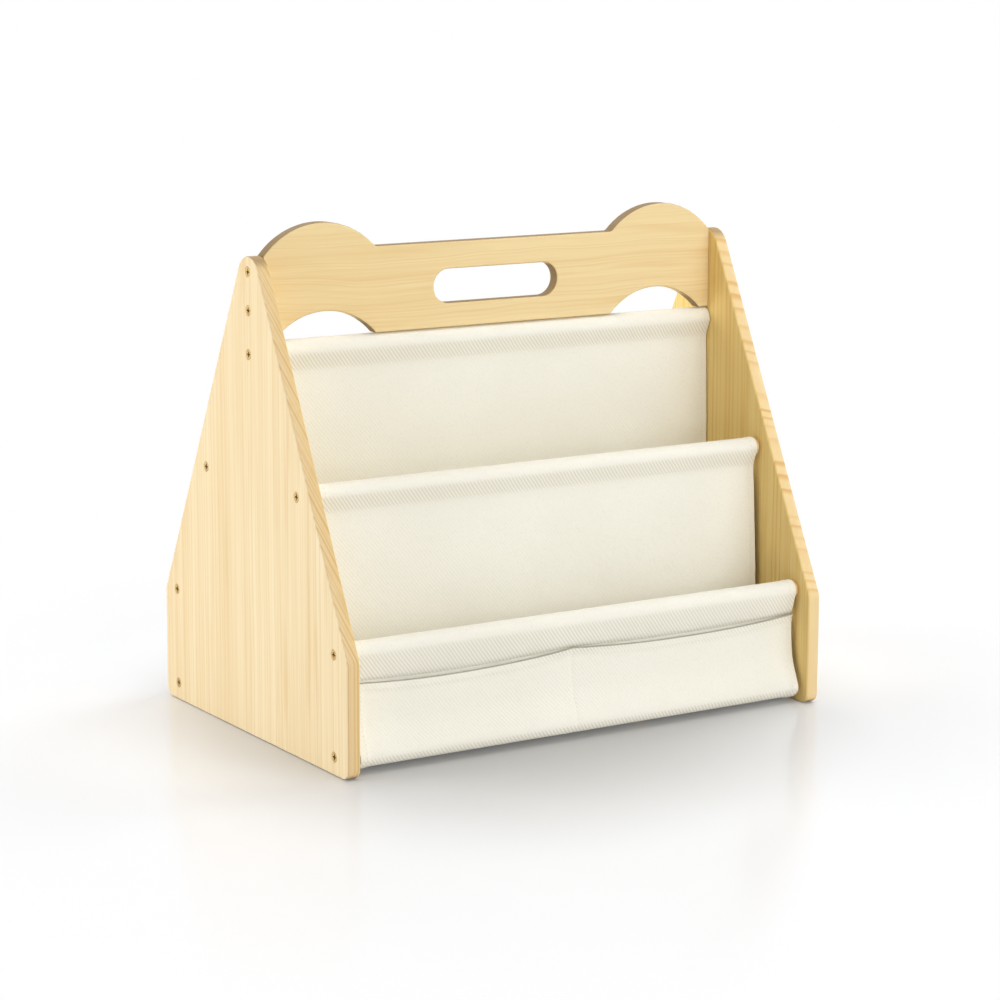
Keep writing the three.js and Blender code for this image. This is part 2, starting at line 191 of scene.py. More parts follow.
class ScrewSizes(bpy.types.PropertyGroup):
    head_radius: length("Head radius", "Radius of the countersunk head", SCREW_SIZE.z / 2)
    head_depth: length("Head depth", "Depth of the countersunk head", 0.0023)
    rim: length("Rim", "Upright rim round the head", 0.00015)
    shank_radius: length("Shank radius", "Radius of the shank", 0.002)
    whole_length: length("Length", "Length of a screw", SCREW_SIZE.x)
    point_length: length("Point length", "Length of the tapered point", 0.005)
    recess_depth: length("Recess depth", "Depth of the cross recess", 0.0015)
    recess_span: length("Recess span", "Span of the cross recess", 0.005)
    recess_width: length("Recess width", "Width of each arm of the cross", 0.0014)
    countersink: length("Countersink", "Width and depth of the bevel round each screw hole", 0.0024)


class ClothSizes(bpy.types.PropertyGroup):
    thickness: length("Thickness", "Thickness of the canvas", 0.001)
    hem_width: length("Hem width", "Width of the doubled hems", 0.0075)
    hem_rise: length("Hem rise", "Extra thickness where a hem is folded", 0.00035)
    edge_round: length("Edge round", "Round of the cloth's edges", 0.00035)
    half_width: length("Half width", "Half the width of the slings", 0.2238)
    top_half_width: length("Top half width", "Half the width of the casing and wall at the top", 0.2273)
    casing_radius: length("Casing radius", "Middle of the cloth round a rod", 0.0083)
    top_casing_radius: length("Top casing radius", "Middle of the cloth round the top rod", 0.0097)
    bottom_casing_radius: length("Bottom casing radius", "Middle of the cloth round the bottom rod", 0.0089)
    bottom_casing_sag: length("Bottom casing sag", "How far the bottom casing hangs below its rod", 0.0012)
    bottom_seam_rise: length("Bottom seam rise", "Height of the bottom casing's seam over its rod", 0.022)
    neck_drop: length("Neck drop", "Depth of each casing's seam below its rod", 0.015)
    neck_offset: length("Neck offset", "How far out each casing's seam lies", 0.0031)
    top_neck_offset: length("Top neck offset", "How far out the top casing's seams lie", 0.0047)
    lower_neck_drop: length("Lower neck drop", "Depth of the lower casing's seam below its rod", 0.027)
    lower_neck_offset: length("Lower neck offset", "How far out the lower casing's seam lies", 0.0008)
    upper_wall_lean: length("Upper wall lean", "How far the upper wall leans out", 0.0031)
    upper_pocket_drop: length("Upper pocket drop", "Depth of the upper pocket below its front rod", 0.068)
    middle_wall_lean: length("Middle wall lean", "How far the middle wall leans out", 0.007)
    middle_pocket_drop: length("Middle pocket drop", "Depth of the middle pocket below its front rod", 0.066)
    grid_step: length("Grid step", "Spacing of the points that the cloth is made of", 0.0026)
    ripple: length("Ripple", "Depth of the slow ripples in hanging cloth", 0.0005)
    pucker: length("Pucker", "Depth of the puckers beside seams", 0.00022)


class PouchSizes(bpy.types.PropertyGroup):
    left_height: length("Left height", "Height of the pouches' edge at its left end", 0.076)
    seam_height: length("Seam height", "Height of the pouches' edge at the seam between them", 0.079)
    right_height: length("Right height", "Height of the pouches' edge at its right end", 0.08)
    edge_sag: length("Edge sag", "Sag of the edge between seams", 0.0048)
    seam_offset: length("Seam offset", "How far left of the middle the seam lies", 0.01)
    foot_height: length("Foot height", "Height above which the pouches stand open", 0.022)
    gape: length("Gape", "How far the edge stands away from the cloth behind", 0.003)
    foot_swell: length("Foot swell", "How far the pouches stand out round the bottom casing", 0.0045)
    press: length("Press", "How far their edge presses in the cloth behind", 0.0016)
    press_height: length("Press height", "Height over their edge at which that press starts", 0.003)
    seam_dip: length("Seam dip", "How deep the seam between the pouches is drawn in", 0.0002)
    lap: length("Lap", "Spacing of two layers of cloth that lie together", 0.0013)


class StitchSizes(bpy.types.PropertyGroup):
    pitch: length("Pitch", "Distance from one stitch to the next", 0.0034)
    stitch_length: length("Stitch length", "Length of thread that shows in a stitch", 0.0025)
    thread_radius: length("Thread radius", "Radius of the thread", 0.00026)
    hem_inset: length("Hem inset", "Distance of the stitches from a hemmed edge", 0.0062)


class Finishes(bpy.types.PropertyGroup):
    panel_pine: colour("Panel pine", "Early wood of the left side panel", 248, 230, 193)
    panel_grain: colour("Panel grain", "Late wood of the left side panel", 230, 199, 144)
    panel_edge: colour("Panel edge", "Cut edges of the left side panel", 231, 199, 148)
    # The right panel's three tones are lighter than the left panel's: painted light that makes up for the
    # shade the right panel stands in
    right_pine_lit: colour("Right panel pine", "Early wood of the right side panel", 255, 236, 194)
    right_grain_lit: colour("Right panel grain", "Late wood of the right side panel", 238, 206, 150)
    right_edge_lit: colour("Right panel edge", "Cut edges of the right side panel", 242, 212, 160)
    end_grain: colour("End grain", "Side panels' faces across the grain", 150, 122, 84)
    # Painted warm shade on the side panels' inner faces, deep inside the shelf
    panel_heart: colour("Panel heart side", "Tint of the side panels' inner faces", 255, 246, 204)
    board_pine: colour("Board pine", "Early wood of the handle board", 248, 224, 172)
    board_grain: colour("Board grain", "Late wood of the handle board", 230, 191, 124)
    board_edge: colour("Board edge", "Darkened cut edges of the handle board", 116, 92, 58)
    dowel_pine: colour("Dowel wood", "Early wood of the dowels", 240, 216, 170)
    dowel_grain: colour("Dowel grain", "Late wood of the dowels", 222, 188, 132)
    canvas: colour("Canvas", "Ecru cotton canvas", 252, 249, 236)
    # Also the tone of the painted shade on the canvas's downward bands
    canvas_shade: colour("Canvas shade", "Canvas between the ribs of its weave", 230, 223, 208)
    # Painted shadow line along the cloth's first edge, where the pouches' edge stands off the cloth behind
    canvas_edge_shadow: colour("Canvas edge shadow", "Canvas along the very edge of its upper hem", 150, 144, 130)
    thread: colour("Thread", "Cotton thread of the seams", 243, 237, 220)
    brass: colour("Brass", "Brass plate of the screws", 206, 174, 114)
    # Painted shade inside the screws' recesses
    recess: colour("Recess", "Dark inside of the screws' recesses", 148, 116, 58)
    floor: colour("Floor", "Pale studio floor", 240, 241, 243)
    bounce: colour("Floor's light", "Colour of the light that the floor throws back", 226, 226, 226)
    # Painted shadow on the floor close round the shelf
    floor_painted_shadow: colour("Floor shadow", "Studio floor close round the shelf", 184, 183, 181)


class StageSettings(bpy.types.PropertyGroup):
    camera_place: FloatVectorProperty(
        name="Camera place", description="Where the camera stands", default=(-1.3802, -2.1944, 0.6852),
        size=3, subtype="TRANSLATION", unit="LENGTH")
    azimuth: angle("Azimuth", "Turn of the view round the shelf", -32.325)
    elevation: angle("Elevation", "Height of the view over the horizon", 11.012)
    roll: angle("Roll", "Roll of the camera", 0.238)
    lens: FloatProperty(
        name="Lens", description="Focal length in millimetres", default=107.57, subtype="DISTANCE_CAMERA")
    top_power: power("Top light", "Power of the light high over the shelf's front", 45)
    low_power: power("Low light", "Power of the low light in front", 32)
    fill_power: power("Fill light", "Power of the low light in front on the right", 23)
    rear_power: power("Rear light", "Power of the light above and behind the shelf", 36)
    left_power: power("Left light", "Power of the low light on the left", 71)
    right_power: power("Right light", "Power of the light on the right", 41)
    lamp_size: length("Lamp size", "Width of each lamp", 2.0)
    lamp_distance: length("Lamp distance", "Distance of each lamp from the shelf", 3.2)
    floor_glow: FloatProperty(
        name="Floor glow", description="Share of plain white that the floor shows close to the shelf",
        default=0.113)
    sky_level: FloatProperty(
        name="Sky level", description="Strength of the even light from all round", default=0.05)


class BookshelfSettings(bpy.types.PropertyGroup):
    panel: PointerProperty(type=PanelSizes)
    board: PointerProperty(type=BoardSizes)
    rod: PointerProperty(type=RodSizes)
    screw: PointerProperty(type=ScrewSizes)
    cloth: PointerProperty(type=ClothSizes)
    pouch: PointerProperty(type=PouchSizes)
    stitch: PointerProperty(type=StitchSizes)
    finish: PointerProperty(type=Finishes)
    stage: PointerProperty(type=StageSettings)


def settings():
    return bpy.context.scene.bookshelf


# Shader nodes

def place_node(tree, kind, inputs=None, **options):
    """Add a node, set its options, and fill or link its inputs."""
    node = tree.nodes.new(kind)
    for option, value in options.items():
        setattr(node, option, value)
    for socket, value in (inputs or {}).items():
        if isinstance(value, bpy.types.NodeSocket):
            tree.links.new(value, node.inputs[socket])
        else:
            node.inputs[socket].default_value = value
    return node


def calculate(tree, operation, first, second=0.0, third=0.0):
    """One step of arithmetic on numbers that vary over the surface."""
    return place_node(tree, "ShaderNodeMath", {0: first, 1: second, 2: third}, operation=operation).outputs[0]


def times(tree, first, second):
    return calculate(tree, "MULTIPLY", first, second)


def spread(tree, value, low, high, new_low=0.0, new_high=1.0, smooth=True):
    """Bring one range of values to another, without going past its ends."""
    return place_node(
        tree, "ShaderNodeMapRange",
        {"Value": value, "From Min": low, "From Max": high, "To Min": new_low, "To Max": new_high},
        interpolation_type="SMOOTHSTEP" if smooth else "LINEAR").outputs["Result"]


def parts_of(tree, vector):
    return place_node(tree, "ShaderNodeSeparateXYZ", {0: vector}).outputs


def noise_on(tree, vector, scale, detail=2.0):
    """Smooth noise, with one scale for every way or one along each axis."""
    if not isinstance(scale, float):
        vector = place_node(
            tree, "ShaderNodeVectorMath", {0: vector, 1: scale}, operation="MULTIPLY").outputs[0]
        scale = 1.0
    return place_node(
        tree, "ShaderNodeTexNoise", {"Vector": vector, "Scale": scale, "Detail": detail}).outputs["Fac"]


def object_place(tree):
    return place_node(tree, "ShaderNodeTexCoord").outputs["Object"]


def mix_colours(tree, share, first, second, blend="MIX"):
    values = {0: share, 6: first, 7: second}
    return place_node(tree, "ShaderNodeMix", values, data_type="RGBA", blend_type=blend).outputs[2]


def new_group(name, values, results):
    """A shader node group that takes a vector and named values, and the sockets at its two ends inside."""
    group = bpy.data.node_groups.new(name, "ShaderNodeTree")
    group.interface.new_socket("Vector", in_out="INPUT", socket_type="NodeSocketVector")
    for label, default in values.items():
        socket = group.interface.new_socket(label, in_out="INPUT", socket_type="NodeSocketFloat")
        socket.default_value = default
    for label in results:
        group.interface.new_socket(label, in_out="OUTPUT", socket_type="NodeSocketFloat")
    return group, group.nodes.new("NodeGroupInput").outputs, group.nodes.new("NodeGroupOutput").inputs


def link_outputs(group, sockets, values):
    for label, value in values.items():
        group.links.new(value, sockets[label])


def place_group(tree, name, make, vector, values=None):
    """Place a node group, which is made at its first use and then shared, with this material's own values."""
    group = bpy.data.node_groups.get(name) or make(name)
    return place_node(tree, "ShaderNodeGroup", {"Vector": vector, **(values or {})}, node_tree=group).outputs


def linear(shown):
    """A colour as it shows on a screen, as the shader needs it."""
    return [*Color(shown).from_srgb_to_scene_linear(), 1.0]


def darker(shade, share):
    return [part * share for part in shade[:3]] + [1.0]


# Scales of the wood's noise across the rings, along them and along the grain
WOOD_WANDER = (12, 12, 6)
WOOD_FIBRE = (620, 620, 9)
WOOD_STREAK = (120, 120, 2.4)
WOOD_DARK_STREAK = (75, 75, 6)
WOOD_DRIFT = (14, 14, 2.2)
# How far the slow noise pushes the rings, and the noise that makes their widths uneven
WANDER_GAIN = 4.0
UNEVEN_SCALE, UNEVEN_GAIN = 0.37, 2.2
# Where the late wood starts in each ring and where it is darkest
LATE_WOOD_START, LATE_WOOD_PEAK = 0.4, 0.82
FAINTEST_RING = 0.3
DARK_STREAK_RANGE = (0.56, 0.76)
# The shares of fine and broad fibres in the grain, and those of fibres and rings in its height
FINE_FIBRES, BROAD_FIBRES = 0.35, 0.65
FIBRE_HEIGHT, RING_HEIGHT = 0.6, 0.4
# Scales of the noise that makes the canvas's ribs waver, thickens its threads and shades it
WAVER_SCALE, SLUB_SCALE, SHADE_SCALE = 55.0, 420.0, 7.0
RIB_WAVER = 0.5
# How far the ribs, the crossings of threads and the thick places in threads stand out
RIB_HEIGHT, CROSSING_HEIGHT, SLUB_HEIGHT = 0.7, 0.08, 0.3


def make_wood_grain(name):
    """Growth rings and fibres of pine, whose grain runs along Z. The rings follow each other along Y."""
    group, given, made = new_group(
        name, {"Ring Spacing": 0.008, "Wander": 0.004, "Tilt": 0.15, "Contrast": 1.0},
        ("Rings", "Fibres", "Streaks", "Drift", "Height"))
    vector = given["Vector"]
    parts = parts_of(group, vector)
    wander = calculate(group, "SUBTRACT", noise_on(group, vector, WOOD_WANDER), 0.5)
    across = calculate(group, "ADD", parts["Y"], times(group, parts["X"], given["Tilt"]))
    across = calculate(group, "ADD", across, times(group, times(group, wander, given["Wander"]), WANDER_GAIN))
    turns = calculate(group, "DIVIDE", across, given["Ring Spacing"])
    uneven = place_node(
        group, "ShaderNodeTexNoise", {"W": turns, "Scale": UNEVEN_SCALE, "Detail": 1.0},
        noise_dimensions="1D").outputs["Fac"]
    turns = calculate(group, "ADD", turns, times(group, uneven, UNEVEN_GAIN))
    ring = calculate(group, "FRACT", turns)
    rising = spread(group, ring, LATE_WOOD_START, LATE_WOOD_PEAK)
    line = times(group, rising, spread(group, ring, LATE_WOOD_PEAK, 1.0, 1.0, 0.0))
    strength = place_node(
        group, "ShaderNodeTexWhiteNoise", {"W": calculate(group, "FLOOR", turns)}, noise_dimensions="1D")
    line = times(group, line, spread(group, strength.outputs["Value"], 0.0, 1.0, FAINTEST_RING, 1.0))
    line = times(group, line, given["Contrast"])
    fibre = noise_on(group, vector, WOOD_FIBRE)
    streak = noise_on(group, vector, WOOD_STREAK, detail=3.0)
    fibres = calculate(group, "ADD", times(group, fibre, FINE_FIBRES), times(group, streak, BROAD_FIBRES))
    height = calculate(group, "ADD", times(group, fibre, FIBRE_HEIGHT), times(group, line, RING_HEIGHT))
    link_outputs(group, made, {
        "Rings": line, "Fibres": fibres, "Height": height, "Drift": noise_on(group, vector, WOOD_DRIFT),
        "Streaks": spread(group, noise_on(group, vector, WOOD_DARK_STREAK), *DARK_STREAK_RANGE)})
    return group


def make_twill_weave(name):
    """Diagonal ribs and single threads of cotton twill, from distances across and down the cut cloth."""
    group, given, made = new_group(
        name, {"Rib Spacing": 0.0027, "Rib Slope": math.radians(50), "Thread Spacing": 0.0007},
        ("Ribs", "Slubs", "Drift", "Height"))
    vector = given["Vector"]
    parts = parts_of(group, vector)
    across = times(group, parts["X"], calculate(group, "SINE", given["Rib Slope"]))
    down = times(group, parts["Y"], calculate(group, "COSINE", given["Rib Slope"]))
    turns = calculate(group, "DIVIDE", calculate(group, "SUBTRACT", across, down), given["Rib Spacing"])
    turns = calculate(group, "ADD", turns, times(group, noise_on(group, vector, WAVER_SCALE), RIB_WAVER))
    ribs = calculate(group, "SINE", times(group, turns, 2 * math.pi))
    ribs = calculate(group, "MULTIPLY_ADD", ribs, 0.5, 0.5)
    counts = (calculate(group, "DIVIDE", parts[axis], given["Thread Spacing"]) for axis in "XY")
    threads = [calculate(group, "SINE", times(group, count, 2 * math.pi)) for count in counts]
    slubs = noise_on(group, vector, SLUB_SCALE, detail=3.0)
    crossings = times(group, times(group, *threads), CROSSING_HEIGHT)
    height = calculate(group, "ADD", times(group, ribs, RIB_HEIGHT), crossings)
    link_outputs(group, made, {
        "Ribs": ribs, "Slubs": slubs, "Drift": noise_on(group, vector, SHADE_SCALE),
        "Height": calculate(group, "ADD", height, times(group, slubs, SLUB_HEIGHT))})
    return group


# Materials

# Masks, as the range of the value that they follow and the shares that they give at its ends
FIBRE_RANGE = (0.32, 0.68)
DRIFT_SHADE = (0.3, 0.7, 0.0, 0.16)
WOOD_ROUGHNESS = (0.3, 0.7, 0.5, 0.62)
# The part of a normal along an axis: on cut edges, on all but faces that look down, and on end faces
EDGE_FACING, NOT_DOWN, END_FACING = (0.3, 0.9, 1.0, 0.0), (-0.97, -0.8), (0.45, 0.9)
# The ribs are painted darker where the canvas looks down, as painted shade on its downward bands, and the
# painted shadow line along the cloth's edge lies on its first millimetre
RIB_SHADE, RIBS_PAINTED_SHADE_DOWN = (0.0, 0.75, 1.0, 0.0), (-0.3, 0.02, 0.78, 0.05)
SLUB_SHADE, CANVAS_DRIFT = (0.45, 0.75, 0.0, 0.18), (0.35, 0.7, 0.0, 0.16)
EDGE_SHADOW_RANGE = (0.0004, 0.0013, 0.8, 0.0)
CANVAS_ROUGHNESS = (0.3, 0.7, 0.88, 0.97)
TWIST_SHADE, RECESS_MOTTLE = (0.35, 0.7, 0.0, 0.5), (0.35, 0.7)
SCUFF_SHADE, BRASS_ROUGHNESS = (0.4, 0.7), (0.3, 0.7, 0.38, 0.52)
# Scales of the noise on thread, in the recesses' painted shade and on brass, and the shares of light that the
# deeper painted shade in the recesses and the scuffs leave
TWIST_SCALE, RECESS_MOTTLE_SCALE, SCUFF_SCALE = 900.0, 2400.0, 1400.0
RECESS_DEEPER_SHADE, DULL = 0.5, 0.62
# How deep each material's small relief is, and how strongly it shows
WOOD_RELIEF, CANVAS_RELIEF = (0.00006, 0.6), (0.0002, 0.8)
THREAD_RELIEF, BRASS_RELIEF = (0.0001, 0.5), (0.00003, 0.5)
# The dark streaks' contrast, as a multiple of the fibres' own
DARK_STREAKS = 1.2


def shared_material(name, make, *values, **options):
    """A material that is made at its first use and then shared."""
    return bpy.data.materials.get(name) or make(name, *values, **options)


def new_material(name, roughness, metallic=0.0, **uniform):
    """A material with its own shader, whose even values stand on the shader's sockets."""
    material = bpy.data.materials.new(name)
    material.use_nodes = True
    tree = material.node_tree
    tree.nodes.clear()
    shader = place_node(
        tree, "ShaderNodeBsdfPrincipled", {"Roughness": roughness, "Metallic": metallic, **uniform})
    place_node(tree, "ShaderNodeOutputMaterial", {"Surface": shader.outputs[0]})
    return material, tree, shader


def feed_shader(tree, shader, base, roughness=None, height=None, relief=None):
    """Link what varies over a surface to its shader. The relief is how deep the height is and how strong."""
    tree.links.new(base, shader.inputs["Base Color"])
    if roughness:
        tree.links.new(roughness, shader.inputs["Roughness"])
    if height:
        distance, strength = relief
        bump = place_node(
            tree, "ShaderNodeBump", {"Height": height, "Distance": distance, "Strength": strength})
        tree.links.new(bump.outputs[0], shader.inputs["Normal"])


def make_wood(name, early, late, axes, rings, shift, fibre, edge=None, end=None, heart=None):
    """Pine whose growth rings run through the whole piece.

    The axes name what lies through, across and along its grain. The rings have a spacing, a wander, a tilt
    and a contrast, and fibre is the contrast of the lines between them. The edge is a tone for cut edges, its
    share and how strongly the rings mark them. The end is a tone for faces across the grain, and its share.
    The inner shade is painted shade: a warm tint that deepens towards the inner faces and stands in for their
    shade and the bounce light between the pine faces, together with the places where it is deepest and where
    it ends.
    """
    material, tree, shader = new_material(name, roughness=0.55, **{"Specular IOR Level": 0.14})
    place = place_node(tree, "ShaderNodeTexCoord").outputs
    moved = place_node(tree, "ShaderNodeMapping", {"Vector": place["Object"], "Location": shift})
    moved = parts_of(tree, moved.outputs[0])
    turned = place_node(tree, "ShaderNodeCombineXYZ", {i: moved[axis] for i, axis in enumerate(axes)})
    values = dict(zip(("Ring Spacing", "Wander", "Tilt", "Contrast"), rings))
    grain = place_group(tree, "wood_grain", make_wood_grain, turned.outputs[0], values)
    early, late = linear(early), linear(late)
    base = mix_colours(tree, grain["Rings"], early, late)
    for share in (
            spread(tree, grain["Fibres"], *FIBRE_RANGE, 0.0, fibre),
            times(tree, grain["Streaks"], DARK_STREAKS * fibre),
            spread(tree, grain["Drift"], *DRIFT_SHADE)):
        base = mix_colours(tree, share, base, late)
    # Painted shade: the inner faces darken and warm towards the inside of the shelf
    if heart:
        tint, inner, outer = heart
        through = calculate(tree, "ABSOLUTE", parts_of(tree, place["Object"])[axes[0]])
        deep = spread(tree, through, inner, outer, 1.0, 0.0, smooth=False)
        base = mix_colours(tree, deep, base, linear(tint), blend="MULTIPLY")
    facing = parts_of(tree, place["Normal"])
    if edge:
        tone, share, marks = edge
        cut = spread(tree, calculate(tree, "ABSOLUTE", facing[axes[0]]), *EDGE_FACING)
        # Painted light: the edge tone is left off faces that look down, so the shaded gap under the board
        # shows lighter
        cut = times(tree, cut, spread(tree, facing["Z"], *NOT_DOWN))
        base = mix_colours(tree, times(tree, cut, share), base, linear(tone))
        marked = times(tree, times(tree, cut, marks), grain["Rings"])
        base = mix_colours(tree, marked, base, late, blend="MULTIPLY")
    if end:
        tone, share = end
        across = spread(tree, calculate(tree, "ABSOLUTE", facing[axes[2]]), *END_FACING, 0.0, share)
        base = mix_colours(tree, across, base, linear(tone))
    roughness = spread(tree, grain["Fibres"], *WOOD_ROUGHNESS)
    feed_shader(tree, shader, base, roughness, grain["Height"], WOOD_RELIEF)
    return material


def make_canvas(name):
    """Ecru twill, with painted shade on its downward bands and a painted shadow line along its upper edge."""
    finish = settings().finish
    canvas, shade = linear(finish.canvas), linear(finish.canvas_shade)
    material, tree, shader = new_material(
        name, roughness=0.92, **{"Specular IOR Level": 0.2, "Sheen Weight": 0.12, "Sheen Roughness": 0.6})
    place = place_node(tree, "ShaderNodeUVMap", uv_map=CLOTH_MAP).outputs[0]
    weave = place_group(tree, "twill_weave", make_twill_weave, place)
    facing = parts_of(tree, place_node(tree, "ShaderNodeTexCoord").outputs["Normal"])["Z"]
    # Painted shade: the ribs darken the canvas most where it looks down
    ribs = times(tree, spread(tree, weave["Ribs"], *RIB_SHADE), spread(tree, facing, *RIBS_PAINTED_SHADE_DOWN))
    base = mix_colours(tree, ribs, canvas, shade)
    base = mix_colours(tree, spread(tree, weave["Slubs"], *SLUB_SHADE), base, shade)
    base = mix_colours(tree, spread(tree, weave["Drift"], *CANVAS_DRIFT), base, shade)
    # Painted shadow: a dark line on the cloth's first millimetre from its upper edge
    down = calculate(tree, "ABSOLUTE", parts_of(tree, place)["Y"])
    base = mix_colours(tree, spread(tree, down, *EDGE_SHADOW_RANGE), base, linear(finish.canvas_edge_shadow))
    roughness = spread(tree, weave["Slubs"], *CANVAS_ROUGHNESS)
    feed_shader(tree, shader, base, roughness, weave["Height"], CANVAS_RELIEF)
    return material


def make_thread(name):
    finish = settings().finish
    material, tree, shader = new_material(name, roughness=0.8)
    twist = noise_on(tree, object_place(tree), TWIST_SCALE)
    shaded = spread(tree, twist, *TWIST_SHADE)
    base = mix_colours(tree, shaded, linear(finish.thread), linear(finish.canvas_shade))
    feed_shader(tree, shader, base, height=twist, relief=THREAD_RELIEF)
    return material


# Painted shade in the screws' recesses: dark brass, mottled darker in places
def make_recess_shade(name):
    material, tree, shader = new_material(name, roughness=0.7, metallic=0.4)
    mottle = noise_on(tree, object_place(tree), RECESS_MOTTLE_SCALE)
    dark = linear(settings().finish.recess)
    base = mix_colours(tree, spread(tree, mottle, *RECESS_MOTTLE), dark, darker(dark, RECESS_DEEPER_SHADE))
    feed_shader(tree, shader, base)
    return material


def make_brass(name):
    material, tree, shader = new_material(name, roughness=0.45, metallic=1.0)
    scuff = noise_on(tree, object_place(tree), SCUFF_SCALE, detail=3.0)
    brass = linear(settings().finish.brass)
    base = mix_colours(tree, spread(tree, scuff, *SCUFF_SHADE), brass, darker(brass, DULL))
    feed_shader(tree, shader, base, spread(tree, scuff, *BRASS_ROUGHNESS), scuff, BRASS_RELIEF)
    return material


# Shared steps of the work on a piece

FLAT_ANGLE = math.radians(1)
SHARP_ANGLE = math.radians(40)
RIM_ANGLE = math.radians(60)
CORNER_STEPS = 12
ROUNDING_STEPS = 3


def finish_piece(name, bm, material, replaced=()):
    """Turn a mesh into a piece of the shelf, at the origin and riding on its body."""
    mesh = bpy.data.meshes.new(name)
    bm.to_mesh(mesh)
    bm.free()
    mesh.shade_smooth()
    mesh.materials.append(material)
    piece = bpy.data.objects.new(name, mesh)
    bpy.context.scene.collection.objects.link(piece)
    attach(piece, BODY)
    if replaced:
        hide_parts(*replaced)
    return piece


def keep_flats_flat(piece):
    """Shade flat faces as flat beside the small rounds of their edges."""
    weighted = piece.modifiers.new("Flat faces", "WEIGHTED_NORMAL")
    weighted.mode = "FACE_AREA"
    weighted.weight = 100
    weighted.keep_sharp = True


def mark_sharp_edges(bm):
    for edge in bm.edges:
        edge.smooth = len(edge.link_faces) != 2 or edge.calc_face_angle(0) < SHARP_ANGLE


def verts_of(parts):
    return [part for part in parts if isinstance(part, bmesh.types.BMVert)]


def draw_arc(bm, centre, radius, start, turn, steps):
    """Spin a point round a centre in the drawing plane; gives the arc's first and last points."""
    first = bm.verts.new((centre[0] + radius * math.cos(start), centre[1] + radius * math.sin(start), 0))
    spun = bmesh.ops.spin(
        bm, geom=[first], cent=(centre[0], centre[1], 0), axis=(0, 0, 1), angle=turn, steps=steps,
        use_merge=False, use_duplicate=False)
    return first, verts_of(spun["geom_last"])[0]


def join_arcs(bm, arcs):
    """Join arcs and single points end to end into one closed outline."""
    for (_, last), (first, _) in zip(arcs, arcs[1:] + arcs[:1]):
        if (last.co - first.co).length > TOUCHING:
            bmesh.ops.contextual_create(bm, geom=[last, first])


def draw_rounded_outline(bm, corners):
    """A closed outline with a round at each corner, from corners of (across, up, radius) anticlockwise."""
    places = [Vector((across, up)) for across, up, _ in corners]
    arcs = []
    for i, (corner, (_, _, radius)) in enumerate(zip(places, corners)):
        before = (places[i - 1] - corner).normalized()
        after = (places[(i + 1) % len(places)] - corner).normalized()
        half_angle = before.angle(after) / 2
        centre = corner + (before + after).normalized() * radius / math.sin(half_angle)
        start = corner + before * radius / math.tan(half_angle) - centre
        arcs.append(draw_arc(
            bm, centre, radius, math.atan2(start.y, start.x), math.pi - 2 * half_angle, CORNER_STEPS))
    join_arcs(bm, arcs)


def fill_and_thicken(bm, thickness):
    """Fill the drawn outlines, leaving their holes open, and give the board its thickness."""
    bmesh.ops.remove_doubles(bm, verts=bm.verts[:], dist=TOUCHING)
    bmesh.ops.triangle_fill(bm, use_beauty=True, edges=bm.edges[:], normal=(0, 0, 1))
    bmesh.ops.dissolve_limit(
        bm, angle_limit=FLAT_ANGLE, verts=bm.verts[:],
        edges=[edge for edge in bm.edges if len(edge.link_faces) == 2], use_dissolve_boundaries=False)
    raised = bmesh.ops.extrude_face_region(bm, geom=bm.faces[:], use_keep_orig=True)
    bmesh.ops.translate(bm, vec=(0, 0, thickness), verts=verts_of(raised["geom"]))
    bmesh.ops.recalc_face_normals(bm, faces=bm.faces[:])


def rim_edges(bm, keep):
    """The edges between a board's faces and its sides, where keep allows them."""
    return [edge for edge in bm.edges if len(edge.link_faces) == 2
            and edge.calc_face_angle(0) > RIM_ANGLE
            and abs(edge.verts[0].co.z - edge.verts[1].co.z) < TOUCHING and keep(edge)]


def bevel_edges(bm, edges, width, segments, clamp=True):
    bmesh.ops.bevel(
        bm, geom=edges, offset=width, offset_type="OFFSET", segments=segments, profile=0.5, affect="EDGES",
        clamp_overlap=clamp, material=-1)


def turn_profile(bm, profile, sides):
    """Spin a profile of (radius, place) points round the X axis into a closed solid."""
    points = [bm.verts.new((place, 0, radius)) for radius, place in profile]
    edges = []
    for pair in zip(points, points[1:]):
        edges += bmesh.ops.contextual_create(bm, geom=pair)["edges"]
    bmesh.ops.spin(
        bm, geom=points + edges, cent=(0, 0, 0), axis=(1, 0, 0), angle=2 * math.pi, steps=sides,
        use_merge=True, use_duplicate=False)
    bmesh.ops.remove_doubles(bm, verts=bm.verts[:], dist=TOUCHING)
    bmesh.ops.recalc_face_normals(bm, faces=bm.faces[:])


def move_into_place(bm, matrix):
    bmesh.ops.transform(bm, matrix=matrix, verts=bm.verts[:])


# Wooden frame

ROD_NAMES = ("top_rod", "front_middle_rod", "front_lower_rod", "front_bottom_rod", "rear_middle_rod",
             "rear_lower_rod", "rear_bottom_rod")
SCREW_PLACES = ("board_upper", "board_lower", *ROD_NAMES)
# Turns a drawing of depth and height into a board that stands along X
ACROSS_WIDTH = Matrix(((0, 0, 1, 0), (1, 0, 0, 0), (0, 1, 0, 0), (0, 0, 0, 1)))
# Turns a drawing of width and height into a board that faces the front
FACING_FRONT = Matrix(((1, 0, 0, 0), (0, 0, -1, 0), (0, 1, 0, 0), (0, 0, 0, 1)))
